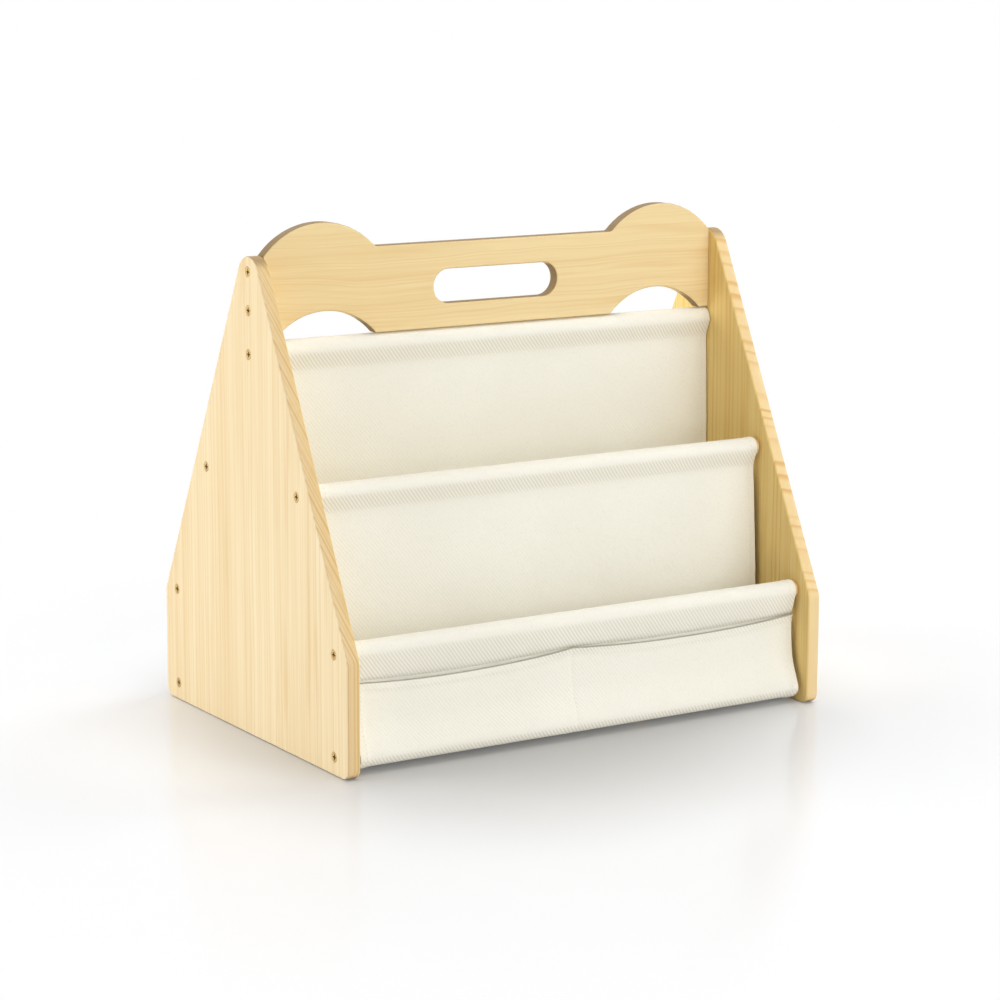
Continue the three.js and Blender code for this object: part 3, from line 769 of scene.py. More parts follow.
# The growth rings' spacing, wander, tilt and contrast, where they start, and the contrast of the fibres
PANEL_GRAIN = {
    LEFT: {"rings": (0.0049, 0.0012, 1.45, 0.5), "shift": (0, 0.31, 0), "fibre": 0.46},
    RIGHT: {"rings": (0.0062, 0.0014, 0.12, 1.0), "shift": (0, 1.27, 0.4), "fibre": 0.55},
}
BOARD_GRAIN = {"rings": (0.0046, 0.0052, 0.6, 0.34), "shift": (0.2, 0, 0.6), "fibre": 0.3}
DOWEL_GRAIN = {"rings": (0.0035, 0.001, 0.3, 0.5), "shift": (0.3, 0, 0), "fibre": 0.26}
# How much of its tone a cut edge or an end face takes, and how strongly the rings mark the cut edges
PANEL_EDGE_SHARE, BOARD_EDGE_SHARE, PANEL_END_SHARE = 0.6, 0.88, 0.75
PANEL_EDGE_MARKS = {LEFT: 1.0, RIGHT: 0.6}
BOARD_EDGE_MARKS = 0.0
# Edges up to this many radii from a screw hole's middle belong to the hole
HOLE_REACH = 1.5
HOLE_SIDES, ROD_SIDES, SCREW_SIDES = 24, 48, 32
CUTOUT_STEPS, EAR_STEPS, EAR_FOOT_STEPS, SLOT_STEPS = 32, 36, 8, 20
# A face of a screw that looks out further than this is its flat head
HEAD_FACING = -0.99


def cut_side_panel(side):
    """Draw and thicken a side panel, with a countersink round each screw hole on its outer face."""
    size, hole_radius = settings().panel, settings().rod.pilot_radius
    bm = bmesh.new()
    half = size.depth / 2
    draw_rounded_outline(bm, [
        (-half, 0, size.foot_radius), (half, 0, size.foot_radius),
        (half, size.shoulder_height, size.shoulder_radius), (0, size.slope_meeting_height, size.peak_radius),
        (-half, size.shoulder_height, size.shoulder_radius)])
    holes = [Vector((*middle_of(f"{side}_screw_{place}").yz, 0)) for place in SCREW_PLACES]
    for hole in holes:
        bmesh.ops.create_circle(
            bm, cap_ends=False, radius=hole_radius, segments=HOLE_SIDES, matrix=Matrix.Translation(hole))
    fill_and_thicken(bm, size.thickness)
    outer = 0 if side == LEFT else size.thickness

    def round_a_hole(edge):
        middle = (edge.verts[0].co + edge.verts[1].co) / 2
        return any((middle.xy - hole.xy).length < HOLE_REACH * hole_radius for hole in holes)

    sinks = rim_edges(bm, lambda edge: round_a_hole(edge) and abs(edge.verts[0].co.z - outer) < TOUCHING)
    rims = rim_edges(bm, lambda edge: not round_a_hole(edge))
    bevel_edges(bm, rims, size.edge_rounding, ROUNDING_STEPS)
    # Clamping would leave the countersinks too narrow
    bevel_edges(bm, [edge for edge in sinks if edge.is_valid], settings().screw.countersink, 1, clamp=False)
    return bm


class BOOKSHELF_OT_side_panels(bpy.types.Operator):
    """Cut the two peaked side panels, with a countersunk hole for each screw"""
    bl_idname = "bookshelf.side_panels"
    bl_label = "Side panels"

    def execute(self, context):
        finish, inner = settings().finish, settings().board.half_length
        # The right panel takes its tones painted lighter to make up for its shade
        tones = {
            LEFT: (finish.panel_pine, finish.panel_grain, finish.panel_edge),
            RIGHT: (finish.right_pine_lit, finish.right_grain_lit, finish.right_edge_lit)}
        for side, (early, late, edge) in tones.items():
            bm = cut_side_panel(side)
            low, _ = extent(f"{side}_side_panel")
            move_into_place(bm, Matrix.Translation((low.x, PANEL_MIDDLE.y, 0)) @ ACROSS_WIDTH)
            mark_sharp_edges(bm)
            material = shared_material(
                f"{side}_panel_pine", make_wood, early, late, "XYZ", **PANEL_GRAIN[side],
                edge=(edge, PANEL_EDGE_SHARE, PANEL_EDGE_MARKS[side]),
                end=(finish.end_grain, PANEL_END_SHARE),
                heart=(finish.panel_heart, inner, inner + settings().panel.thickness))
            keep_flats_flat(finish_piece(f"{side}_panel", bm, material, [f"{side}_side_panel"]))
        return {"FINISHED"}


def arc_radius(half_chord, rise):
    return (half_chord ** 2 + rise ** 2) / (2 * rise)


def draw_board(bm, size, bottom):
    """The handle board's outline with its ears and cut-outs, and the hand slot inside it."""
    end, top = size.half_length, bottom + size.height
    ear = arc_radius(size.ear_half_width, size.ear_rise)
    ear_middle = end - size.ear_tuck - size.ear_half_width
    ear_centre = top + size.ear_rise - ear
    foot = size.ear_foot_radius
    foot_slant = math.asin((top + foot - ear_centre) / (ear + foot))
    foot_middle = ear_middle - (ear + foot) * math.cos(foot_slant)
    foot_turn = foot_slant - math.pi / 2
    ear_outer = math.acos((end - ear_middle) / ear)
    ear_turn = math.pi - foot_slant - ear_outer
    cutout = arc_radius(size.cutout_half_width, size.cutout_rise)
    cutout_middle = end - size.cutout_end_width - size.cutout_half_width
    cutout_centre = bottom + size.cutout_rise - cutout
    cutout_start = math.acos(size.cutout_half_width / cutout)
    left_end, right_end = (bm.verts.new((side * end, bottom, 0)) for side in (-1, 1))
    cutouts = [
        draw_arc(bm, (side * cutout_middle, cutout_centre), cutout, math.pi - cutout_start,
                 2 * cutout_start - math.pi, CUTOUT_STEPS)
        for side in (-1, 1)]
    join_arcs(bm, [
        (left_end, left_end), *cutouts, (right_end, right_end),
        draw_arc(bm, (ear_middle, ear_centre), ear, ear_outer, ear_turn, EAR_STEPS),
        draw_arc(bm, (foot_middle, top + foot), foot, -foot_slant, foot_turn, EAR_FOOT_STEPS),
        draw_arc(bm, (-foot_middle, top + foot), foot, -math.pi / 2, foot_turn, EAR_FOOT_STEPS),
        draw_arc(bm, (-ear_middle, ear_centre), ear, foot_slant, ear_turn, EAR_STEPS),
    ])
    slot = size.slot_height / 2
    slot_middle = size.slot_length / 2 - slot
    join_arcs(bm, [
        draw_arc(
            bm, (side * slot_middle, bottom + size.slot_rise), slot, -side * math.pi / 2, math.pi, SLOT_STEPS)
        for side in (1, -1)])


class BOOKSHELF_OT_handle_board(bpy.types.Operator):
    """Cut the handle board with its ears, cut-outs and hand slot"""
    bl_idname = "bookshelf.handle_board"
    bl_label = "Handle board"

    def execute(self, context):
        size, finish = settings().board, settings().finish
        low, _ = extent("handle_board")
        bm = bmesh.new()
        draw_board(bm, size, low.z)
        fill_and_thicken(bm, size.thickness)

        def off_the_ends(edge):
            return not all(size.half_length - abs(vert.co.x) < TOUCHING for vert in edge.verts)

        bevel_edges(bm, rim_edges(bm, off_the_ends), size.edge_rounding, ROUNDING_STEPS)
        move_into_place(bm, Matrix.Translation((0, size.thickness / 2, 0)) @ FACING_FRONT)
        mark_sharp_edges(bm)
        material = shared_material(
            "board_pine", make_wood, finish.board_pine, finish.board_grain, "YZX", **BOARD_GRAIN,
            edge=(finish.board_edge, BOARD_EDGE_SHARE, BOARD_EDGE_MARKS))
        keep_flats_flat(finish_piece("board", bm, material, ["handle_board"]))
        return {"FINISHED"}


class BOOKSHELF_OT_rods(bpy.types.Operator):
    """Turn the seven dowels, with a pilot hole in each end"""
    bl_idname = "bookshelf.rods"
    bl_label = "Rods"

    def execute(self, context):
        size, finish = settings().rod, settings().finish
        end = size.half_length
        bottom = end - size.pilot_depth
        half = [
            (0, bottom), (size.pilot_radius, bottom), (size.pilot_radius, end),
            (size.radius - size.chamfer, end), (size.radius, end - size.chamfer)]
        for name in ROD_NAMES:
            bm = bmesh.new()
            turn_profile(bm, [(radius, -place) for radius, place in half] + half[::-1], ROD_SIDES)
            middle = middle_of(name)
            move_into_place(bm, Matrix.Translation((0, middle.y, middle.z)))
            mark_sharp_edges(bm)
            material = shared_material(
                "dowel_wood", make_wood, finish.dowel_pine, finish.dowel_grain, "YZX", **DOWEL_GRAIN)
            finish_piece(f"dowel_{name[:-4]}", bm, material, [name])
        return {"FINISHED"}


def cut_cross_recess(bm, size):
    """Score the screw's flat head along the arms of a cross, press the cross in and give it the recess's
    painted shade.
    """
    arm, span = size.recess_width / 2, size.recess_span / 2
    for axis in ((0, 1, 0), (0, 0, 1)):
        for reach in (arm, span):
            for side in (-1, 1):
                head = [face for face in bm.faces if face.normal.x < HEAD_FACING]
                parts = {*head, *(edge for face in head for edge in face.edges),
                         *(vert for face in head for vert in face.verts)}
                bmesh.ops.bisect_plane(
                    bm, geom=list(parts), dist=TOUCHING, plane_co=Vector(axis) * side * reach, plane_no=axis)

    def in_cross(place, slack):
        across, up = abs(place.y), abs(place.z)
        return max(across, up) < span + slack and min(across, up) < arm + slack

    cross = [face for face in bm.faces
             if face.normal.x < HEAD_FACING and in_cross(face.calc_center_median(), 0)]
    pressed = bmesh.ops.extrude_face_region(bm, geom=cross)
    bmesh.ops.delete(bm, geom=[face for face in cross if face.is_valid], context="FACES_ONLY")
    bmesh.ops.translate(bm, vec=(size.recess_depth, 0, 0), verts=verts_of(pressed["geom"]))
    for face in bm.faces:
        middle = face.calc_center_median()
        if middle.x > TOUCHING and in_cross(middle, TOUCHING):
            face.material_index = 1


class BOOKSHELF_OT_screws(bpy.types.Operator):
    """Turn the countersunk wood screws and press a cross recess into each head"""
    bl_idname = "bookshelf.screws"
    bl_label = "Screws"

    def execute(self, context):
        size = settings().screw
        for side in (LEFT, RIGHT):
            for place in SCREW_PLACES:
                name = f"{side}_screw_{place}"
                bm = bmesh.new()
                turn_profile(bm, [
                    (0, 0), (size.head_radius - size.rim, 0), (size.head_radius, size.rim),
                    (size.shank_radius, size.head_depth),
                    (size.shank_radius, size.whole_length - size.point_length), (0, size.whole_length)],
                    SCREW_SIDES)
                cut_cross_recess(bm, size)
                bmesh.ops.recalc_face_normals(bm, faces=bm.faces[:])
                low, high = extent(name)
                middle = (low + high) / 2
                outside, turn = (low.x, AS_DRAWN) if side == LEFT else (high.x, HALF_TURN)
                move_into_place(bm, Matrix.Translation((outside, middle.y, middle.z)) @ turn)
                mark_sharp_edges(bm)
                brass = shared_material("screw_brass", make_brass)
                piece = finish_piece(f"{side}_brass_screw_{place}", bm, brass, [name])
                piece.data.materials.append(shared_material("screw_recess", make_recess_shade))
        return {"FINISHED"}


# Cloth

# The distance between two layers of cloth that are sewn together, and the cloth left beyond a seam
LAYER = 0.00118
SEAM_ALLOWANCE = 0.004
# Each point of a pocket, as a share of its width from the wall outwards and of its drop
POCKET_SHARES = ((0, 0.12), (0.05, 0.5), (0.2, 0.86), (0.46, 1), (0.74, 0.87), (0.92, 0.52))
# Points between two knots of a line, and knots along each of its stretches
CURVE_POINTS = 13
CASING_STEPS, WALL_STEPS, HANGING_STEPS, UNDER_STEPS, BEHIND_STEPS = 12, 6, 9, 9, 3
# Columns of the cloth at a hem, as shares of the hem's width from its edge
HEM_COLUMNS = (0, 0.12, 0.3, 0.55, 0.8, 1, 1.2, 1.5)
# How far before and beyond its inner line a hem at the side grows to its full thickness
HEM_START, HEM_FULL = 0.0012, 0.0004
# Wide and fine ripples for each metre across and down the cloth, and the share of the fine ones
WIDE_RIPPLES, FINE_RIPPLES, FINE_SHARE = (13, 17), (34, 29), 0.4
# Puckers for each metre along a seam
PUCKERS = 150
# How far the fine ripples' seed lies from the wide ones', and where the puckers' noise is cut
FINE_SEED_STEP, PUCKER_CUT = 5, 0.3
# Where the puckers at a sling's sides start and are deepest, as shares of half its width
SIDE_PUCKERS = (0.86, 0.97)
# The seeds of the ripples: one number for each sling in turn, and one for each end's pouches
FIRST_SLING = {FRONT: 1, REAR: 7}
SLING_SEED_STEP = 3.7
POUCH_SEEDS = {FRONT: 21.3, REAR: 33.1}
# The cloth lies still down to here from its upper edge, then the ripples grow, and they fade before its foot
STILL_TO = {"upper": 0.08, "middle": 0.075, "lower": 0.075}
RIPPLES_GROW = 0.05
RIPPLES_FADE = (0.004, 0.03)
# The upper sling's wall narrows from this height over the middle rod, over this length
NARROWING_RISE, NARROWING_LENGTH = 0.004, 0.07
# Shares of a line after which its casing's seam and its bottom seam are looked for
CASING_SEAM_AFTER, BOTTOM_SEAM_AFTER = 0.1, 0.3
# The pouches press the cloth behind them down to this height, and only on this share of its line
PRESS_FADE_HEIGHT, PRESS_SHARE, PRESS_END = 0.045, 0.75, 0.01


class HungLine:
    """The line that a cloth follows, as [out, height] at each distance down it, seen from the left."""

    def __init__(self, knots):
        knots = [Vector(knot).to_3d() for knot in knots]
        ends = [2 * knots[0] - knots[1]] + knots + [2 * knots[-1] - knots[-2]]
        points = []
        for before, start, finish, after in zip(ends, ends[1:], ends[2:], ends[3:]):
            reach = (finish - start).length
            lead_in = (finish - before).normalized() * reach / 3
            lead_out = (after - start).normalized() * reach / 3
            curve = interpolate_bezier(start, start + lead_in, finish - lead_out, finish, CURVE_POINTS)
            points += curve[:-1]
        self.points = points + [knots[-1]]
        self.distances = [0.0]
        for start, finish in zip(self.points, self.points[1:]):
            self.distances.append(self.distances[-1] + (finish - start).length)
        self.length = self.distances[-1]

    def at(self, distance):
        """The place at one distance, and the way that the cloth's outer face looks there."""
        i = min(max(bisect_right(self.distances, distance) - 1, 0), len(self.points) - 2)
        start, finish = self.points[i], self.points[i + 1]
        span = self.distances[i + 1] - self.distances[i]
        place = start.lerp(finish, (distance - self.distances[i]) / span)
        before, after = self.points[max(i - 1, 0)], self.points[min(i + 2, len(self.points) - 1)]
        along = (after - before).normalized()
        return place, Vector((-along.y, along.x, 0))

    def distance_at_height(self, height, start_share=0.0):
        """How far down the line it first comes to a height, from a share of the line onwards."""
        for distance, place, following in zip(self.distances, self.points, self.points[1:]):
            if distance >= start_share * self.length and (place.y - height) * (following.y - height) <= 0:
                return distance
        raise RuntimeError(f"the cloth never comes to a height of {height:.3f} m")


def run(start, finish, steps):
    """Points along a straight stretch, without its first one."""
    start, finish = Vector(start), Vector(finish)
    return [start.lerp(finish, i / steps) for i in range(1, steps + 1)]


def rod_place(name):
    middle = middle_of(name)
    return Vector((abs(middle.y), middle.z))


def touch_angle(point, rod, radius, side):
    """The angle at which a line from a point touches a round of cloth, on the side that is asked for."""
    away = Vector(point) - rod
    return math.atan2(away.y, away.x) + side * math.acos(radius / away.length)


def arc_points(centre, radius, start, finish, steps):
    turn = (finish - start) / steps
    return [centre + radius * Vector((math.cos(start + turn * i), math.sin(start + turn * i)))
            for i in range(steps + 1)]


def casing_points(rod, radius, inner_neck, outer_neck):
    """From the seam behind a rod, up and over it, and down to the seam in front of it."""
    start = touch_angle(inner_neck, rod, radius, -1) + 2 * math.pi
    finish = touch_angle(outer_neck, rod, radius, 1)
    under = inner_neck - Vector((0, SEAM_ALLOWANCE))
    return [under, inner_neck, *arc_points(rod, radius, start, finish, CASING_STEPS), outer_neck]


def pocket_points(start, lean, rod, drop, neck):
    """Down the wall from one seam, round under the next rod and up to its seam."""
    wall = start.x + lean
    end = neck - Vector((2 * LAYER, LAYER / 4))
    shaped = [Vector((wall + (end.x - wall) * across, rod.y - drop * down)) for across, down in POCKET_SHARES]
    return [*run(start, shaped[0], WALL_STEPS), *shaped[1:], end]


class ShelfCloth:
    """The three lengths of cloth that hang one below the other on the front, as lines."""

    def __init__(self):
        size = settings().cloth
        self.rods = {level: rod_place(name) for level, name in (
            ("top", "top_rod"), ("middle", "front_middle_rod"), ("lower", "front_lower_rod"),
            ("bottom", "front_bottom_rod"))}
        top, middle, lower, bottom = self.rods.values()
        behind = Vector((-LAYER, 0))
        inner_neck, outer_neck = (
            top + Vector((side * size.top_neck_offset, -size.neck_drop)) for side in (-1, 1))
        middle_neck = middle + Vector((size.neck_offset, -size.neck_drop))
        pocket = pocket_points(
            outer_neck, size.upper_wall_lean, middle, size.upper_pocket_drop, middle_neck)
        self.upper = HungLine([*casing_points(top, size.top_casing_radius, inner_neck, outer_neck), *pocket])
        lapped = outer_neck + behind
        self.upper_rear = HungLine([lapped + Vector((0, 2 * SEAM_ALLOWANCE)), lapped, *pocket])
        self.panel_top = lower + Vector((size.lower_neck_offset, -size.lower_neck_drop))
        self.middle = HungLine([
            *casing_points(middle, size.casing_radius, middle_neck + behind, middle_neck),
            *pocket_points(
                middle_neck, size.middle_wall_lean, lower, size.middle_pocket_drop, self.panel_top)])
        self.slack = bottom - Vector((0, size.bottom_casing_sag))
        self.panel_foot = bottom.x + size.bottom_casing_radius
        heights = (self.panel_top.y + (self.slack.y - self.panel_top.y) * i / HANGING_STEPS
                   for i in range(1, HANGING_STEPS + 1))
        seam = bottom.y + size.bottom_seam_rise
        seam_place = Vector((self.panel_out(seam) - LAYER, seam))
        leaving = touch_angle(seam_place, bottom, size.bottom_casing_radius, 1)
        above = seam + SEAM_ALLOWANCE
        self.lower = HungLine([
            *casing_points(lower, size.casing_radius, self.panel_top + behind, self.panel_top),
            *(Vector((self.panel_out(height), height)) for height in heights),
            *arc_points(self.slack, size.bottom_casing_radius, 0, -math.pi, UNDER_STEPS)[1:],
            *arc_points(bottom, size.bottom_casing_radius, math.pi, leaving, BEHIND_STEPS),
            seam_place, Vector((self.panel_out(above) - LAYER, above))])

    def panel_out(self, height):
        """How far out the lower panel of cloth hangs at one height, also over its seam."""
        over = height - self.panel_top.y
        if over > 0:
            rod, radius = self.rods["lower"], settings().cloth.casing_radius
            return self.panel_top.x + over * (rod.x + radius - self.panel_top.x) / (rod.y - self.panel_top.y)
        fallen = -over / (self.panel_top.y - self.slack.y)
        return self.panel_top.x + (self.panel_foot - self.panel_top.x) * fallen ** 2


def ease(value, low, high):
    share = min(max((value - low) / (high - low), 0), 1)
    return share * share * (3 - 2 * share)


def even_stops(start, finish, step):
    count = max(round(abs(finish - start) / step), 1)
    return [start + (finish - start) * i / count for i in range(count + 1)]


def hemmed_stops(half_width, hem, step):
    """Where the columns of a cloth stand across it, closer at its hems."""
    edge = [half_width - hem * share for share in HEM_COLUMNS]
    inner = even_stops(-edge[-1], edge[-1], step)
    return [-stop for stop in edge[:-1]] + inner + edge[:-1][::-1]


def side_hem(across, half_width):
    """How far the fold of the hems at a cloth's sides has thickened it at one place across it."""
    fold = half_width - settings().cloth.hem_width
    return ease(abs(across), fold - HEM_START, fold + HEM_FULL)


def lay_cloth(bm, columns, rows, place, hem_share):
    """Lay a flat grid of cloth where place says, with its cut size as its map and its hems marked."""
    bmesh.ops.create_grid(bm, x_segments=len(columns) - 1, y_segments=len(rows) - 1, size=1)
    cut = bm.loops.layers.uv.new(CLOTH_MAP)
    hem = bm.verts.layers.deform.verify()
    across_down = {}
    for vert in bm.verts:
        column = round((vert.co.x + 1) / 2 * (len(columns) - 1))
        row = round((1 - vert.co.y) / 2 * (len(rows) - 1))
        across_down[vert] = (columns[column], rows[row])
    for face in bm.faces:
        for loop in face.loops:
            loop[cut].uv = across_down[loop.vert]
    for vert, (across, down) in across_down.items():
        vert.co = place(across, down)
        vert[hem][0] = hem_share(across, down)


def finish_cloth(name, bm, turn, replaced=()):
    """Give a laid cloth its thickness, doubled at its hems, and rounded edges."""
    size = settings().cloth
    move_into_place(bm, turn)
    piece = finish_piece(name, bm, shared_material("ecru_canvas", make_canvas), replaced)
    piece.vertex_groups.new(name=HEM_GROUP)
    whole = size.thickness + size.hem_rise
    thick = piece.modifiers.new("Cloth thickness", "SOLIDIFY")
    thick.thickness = whole
    thick.offset = 1
    thick.use_rim = True
    thick.use_even_offset = False
    thick.vertex_group = HEM_GROUP
    thick.thickness_vertex_group = size.thickness / whole
    soft = piece.modifiers.new("Soft edges", "BEVEL")
    soft.width = size.edge_round
    soft.segments = 2
    soft.limit_method = "ANGLE"
    soft.angle_limit = RIM_ANGLE
    soft.use_clamp_overlap = True
    return piece


def sew(name, place, hem_share, rows, turn):
    """Sew rows of stitches on the outer face of a laid cloth, each row from one flat point to another."""
    cloth, size = settings().cloth, settings().stitch
    bm = bmesh.new()
    for start, finish in rows:
        start, finish = Vector(start), Vector(finish)
        count = max(round((finish - start).length / size.pitch), 1)
        reach = (finish - start).normalized() * size.stitch_length / 2
        for i in range(count):
            across, down = start.lerp(finish, (i + 0.5) / count)
            middle = place(across, down)
            downwards = place(across, down + NEARBY) - middle
            outwards = downwards.cross(place(across + NEARBY, down) - middle).normalized()
            along = place(across + reach.x, down + reach.y) - place(across - reach.x, down - reach.y)
            beside = outwards.cross(along).normalized()
            middle += outwards * (cloth.thickness + cloth.hem_rise * hem_share(across, down))
            wide, thick = beside * size.thread_radius, outwards * size.thread_radius
            shape = Matrix((along / 2, wide, thick)).transposed()
            bmesh.ops.create_icosphere(
                bm, subdivisions=1, radius=1, matrix=Matrix.Translation(middle) @ shape.to_4x4())
    move_into_place(bm, turn)
    return finish_piece(name, bm, shared_material("cotton_thread", make_thread))


def ripple(across, down, seed):
    """Slow waves of hanging cloth."""
    wide = noise.noise(Vector((across * WIDE_RIPPLES[0], down * WIDE_RIPPLES[1], seed)))
    fine = noise.noise(Vector((across * FINE_RIPPLES[0], down * FINE_RIPPLES[1], seed + FINE_SEED_STEP)))
    return wide + FINE_SHARE * fine


def pucker(along, seed):
    return noise.noise(Vector((along * PUCKERS, seed, PUCKER_CUT)))


def swayed(point, way, across, sway):
    """The place of one point of a cloth, moved out of its line by its sway."""
    lift = sway - settings().cloth.thickness / 2
    return Vector((across, -(point.x + way.x * lift), point.y + way.y * lift))


def hung_place(line, width_at, seed, calm, pressed=None):
    """Where each point of a hung cloth lies, with a light ripple that calm takes out beside the rods.

    Pressed gives how far the cloth is pushed in at a place across and down it.
    """
    size = settings().cloth

    def place(across, down):
        point, way = line.at(down)
        share = across / size.top_half_width
        sway = size.ripple * ripple(across, down, seed) * calm(down)
        edge = ease(abs(share), *SIDE_PUCKERS) * calm(down)
        sway += size.pucker * pucker(down, seed + math.copysign(1, across)) * edge
        reach = share * width_at(down)
        if pressed:
            sway -= pressed(reach, point.y, down)
        return swayed(point, way, reach, sway)

    return place


class BOOKSHELF_OT_slings(bpy.types.Operator):
    """Hang the canvas slings over their rods, each from one casing down to the next"""
    bl_idname = "bookshelf.slings"
    bl_label = "Canvas slings"

    def execute(self, context):
        size = settings().cloth
        hung = ShelfCloth()
        for end, turn in END_TURNS.items():
            upper = hung.upper if end == FRONT else hung.upper_rear
            lines = (("upper", upper, "top", ["top_rod", f"{end}_middle_rod"]),
                     ("middle", hung.middle, "middle", [f"{end}_middle_rod", f"{end}_lower_rod"]),
                     ("lower", hung.lower, "lower", [f"{end}_lower_rod", f"{end}_bottom_rod"]))
            for number, (level, line, rod, rods) in enumerate(lines, start=FIRST_SLING[end]):
                name = f"{end}_{level}_sling"
                widths = self.widths(level, line, hung)
                pressed = self.pressed(line) if level == "lower" else None
                place = hung_place(line, widths, number * SLING_SEED_STEP, self.calm(level, line), pressed)
                bm = bmesh.new()
                lay_cloth(bm, hemmed_stops(size.top_half_width, size.hem_width, size.grid_step),
                          even_stops(0, line.length, size.grid_step), place, self.hem_share)
                piece = finish_cloth(name, bm, turn, [f"{end}_sling"] if level == "upper" else [])
                seams = self.seams(level, line, rod, hung)
                stitches = sew(f"{name}_stitches", place, self.hem_share, seams, turn)
                2 * widths(0)
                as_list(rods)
        return {"FINISHED"}

    @staticmethod
    def hem_share(across, down):
        """Where the sides of a sling are folded over into a hem."""
        return side_hem(across, settings().cloth.top_half_width)

    @staticmethod
    def seams(level, line, rod, hung):
        """The rows of stitches down both hems, under each casing and over the bottom casing."""
        size = settings().cloth
        edge = size.top_half_width - settings().stitch.hem_inset
        rows = [((side * edge, 0), (side * edge, line.length - SEAM_ALLOWANCE)) for side in (-1, 1)]
        start_share = 0 if line is hung.upper_rear else CASING_SEAM_AFTER
        drop = size.lower_neck_drop if level == "lower" else size.neck_drop
        seams = [line.distance_at_height(hung.rods[rod].y - drop, start_share)]
        if level == "lower":
            height = hung.rods["bottom"].y + size.bottom_seam_rise
            seams.append(line.distance_at_height(height, BOTTOM_SEAM_AFTER))
        return rows + [((-edge, seam), (edge, seam)) for seam in seams]

    @staticmethod
    def widths(level, line, hung):
        """Half the cloth's width at each distance down it: the top casing and the wall below it are wider."""
        size = settings().cloth
        if level != "upper":
            return lambda down: size.half_width
        start = line.distance_at_height(hung.rods["middle"].y + NARROWING_RISE)
        return lambda down: size.top_half_width + (size.half_width - size.top_half_width) * ease(
            down, start, start + NARROWING_LENGTH)

    @staticmethod
    def pressed(line):
        """How far the edge of the pouches presses the lower panel of cloth in, down to its foot."""
        pouch = settings().pouch

        def push(across, height, down):
            edge, _ = pouch_edge(across)
            below = ease(height, edge + pouch.press_height, edge)
            below *= ease(height, pouch.foot_height, PRESS_FADE_HEIGHT)
            return pouch.press * below * ease(line.length * PRESS_SHARE - down, 0, PRESS_END)

        return push

    @staticmethod
    def calm(level, line):
        """No ripples where the cloth lies on a rod or ends in a seam."""
        still = STILL_TO[level]
        return lambda down: ease(down, still, still + RIPPLES_GROW) * ease(line.length - down, *RIPPLES_FADE)


# How far the pouches wrap round the bottom casing, and the knots of their line down to it and round it
WRAP_TURN, WRAP_STEPS = 0.8 * math.pi, 8
POUCH_STEPS = 14
# The pouches start to swell at this height, and their second layer counts from this far outside a hem
SWELL_HEIGHT, DOUBLED_START = 0.044, 0.003
# The pouches' ripples and puckers as shares of the slings', and where each of them fades
POUCH_RIPPLE, POUCH_RIPPLE_FADE, POUCH_SIDE_FADE = 0.8, (0.02, 0.06), (0, 0.02)
SEAM_PUCKER, SEAM_PUCKER_REACH = 1.5, (0.03, 0.004)
SEAM_DIP_REACH, SEAM_DIP_START = (0.0035, 0.0), (0, 0.003)
# Columns on both sides of the seam between the pouches, and how far the even columns keep away from it
SEAM_COLUMNS, SEAM_CLEARANCE = (-0.0036, -0.0022, -0.001, 0, 0.001, 0.0022, 0.0036), 0.004
# Rows in the hem of the pouches' upper edge, and where the even rows start below it
TOP_HEM_ROWS, FIRST_EVEN_ROW = (0, 0.0007, 0.002, 0.004, 0.006, 0.0074, 0.009), 0.011
# How far before and beyond its width the hem at the upper edge thins out
TOP_HEM_START, TOP_HEM_END = 0.0009, 0.0007


def pouch_edge(across):
    """The height of the pouches' upper edge at one place along it, and how far it can stand open."""
    size, pouch = settings().cloth, settings().pouch
    seam = -pouch.seam_offset
    if across < seam:
        start, finish, low, high = -size.half_width, seam, pouch.left_height, pouch.seam_height
    else:
        start, finish, low, high = seam, size.half_width, pouch.seam_height, pouch.right_height
    share = (across - start) / (finish - start)
    bow = 1 - (2 * share - 1) ** 2
    return low + (high - low) * share - pouch.edge_sag * bow, 1 - (2 * share - 1) ** 4


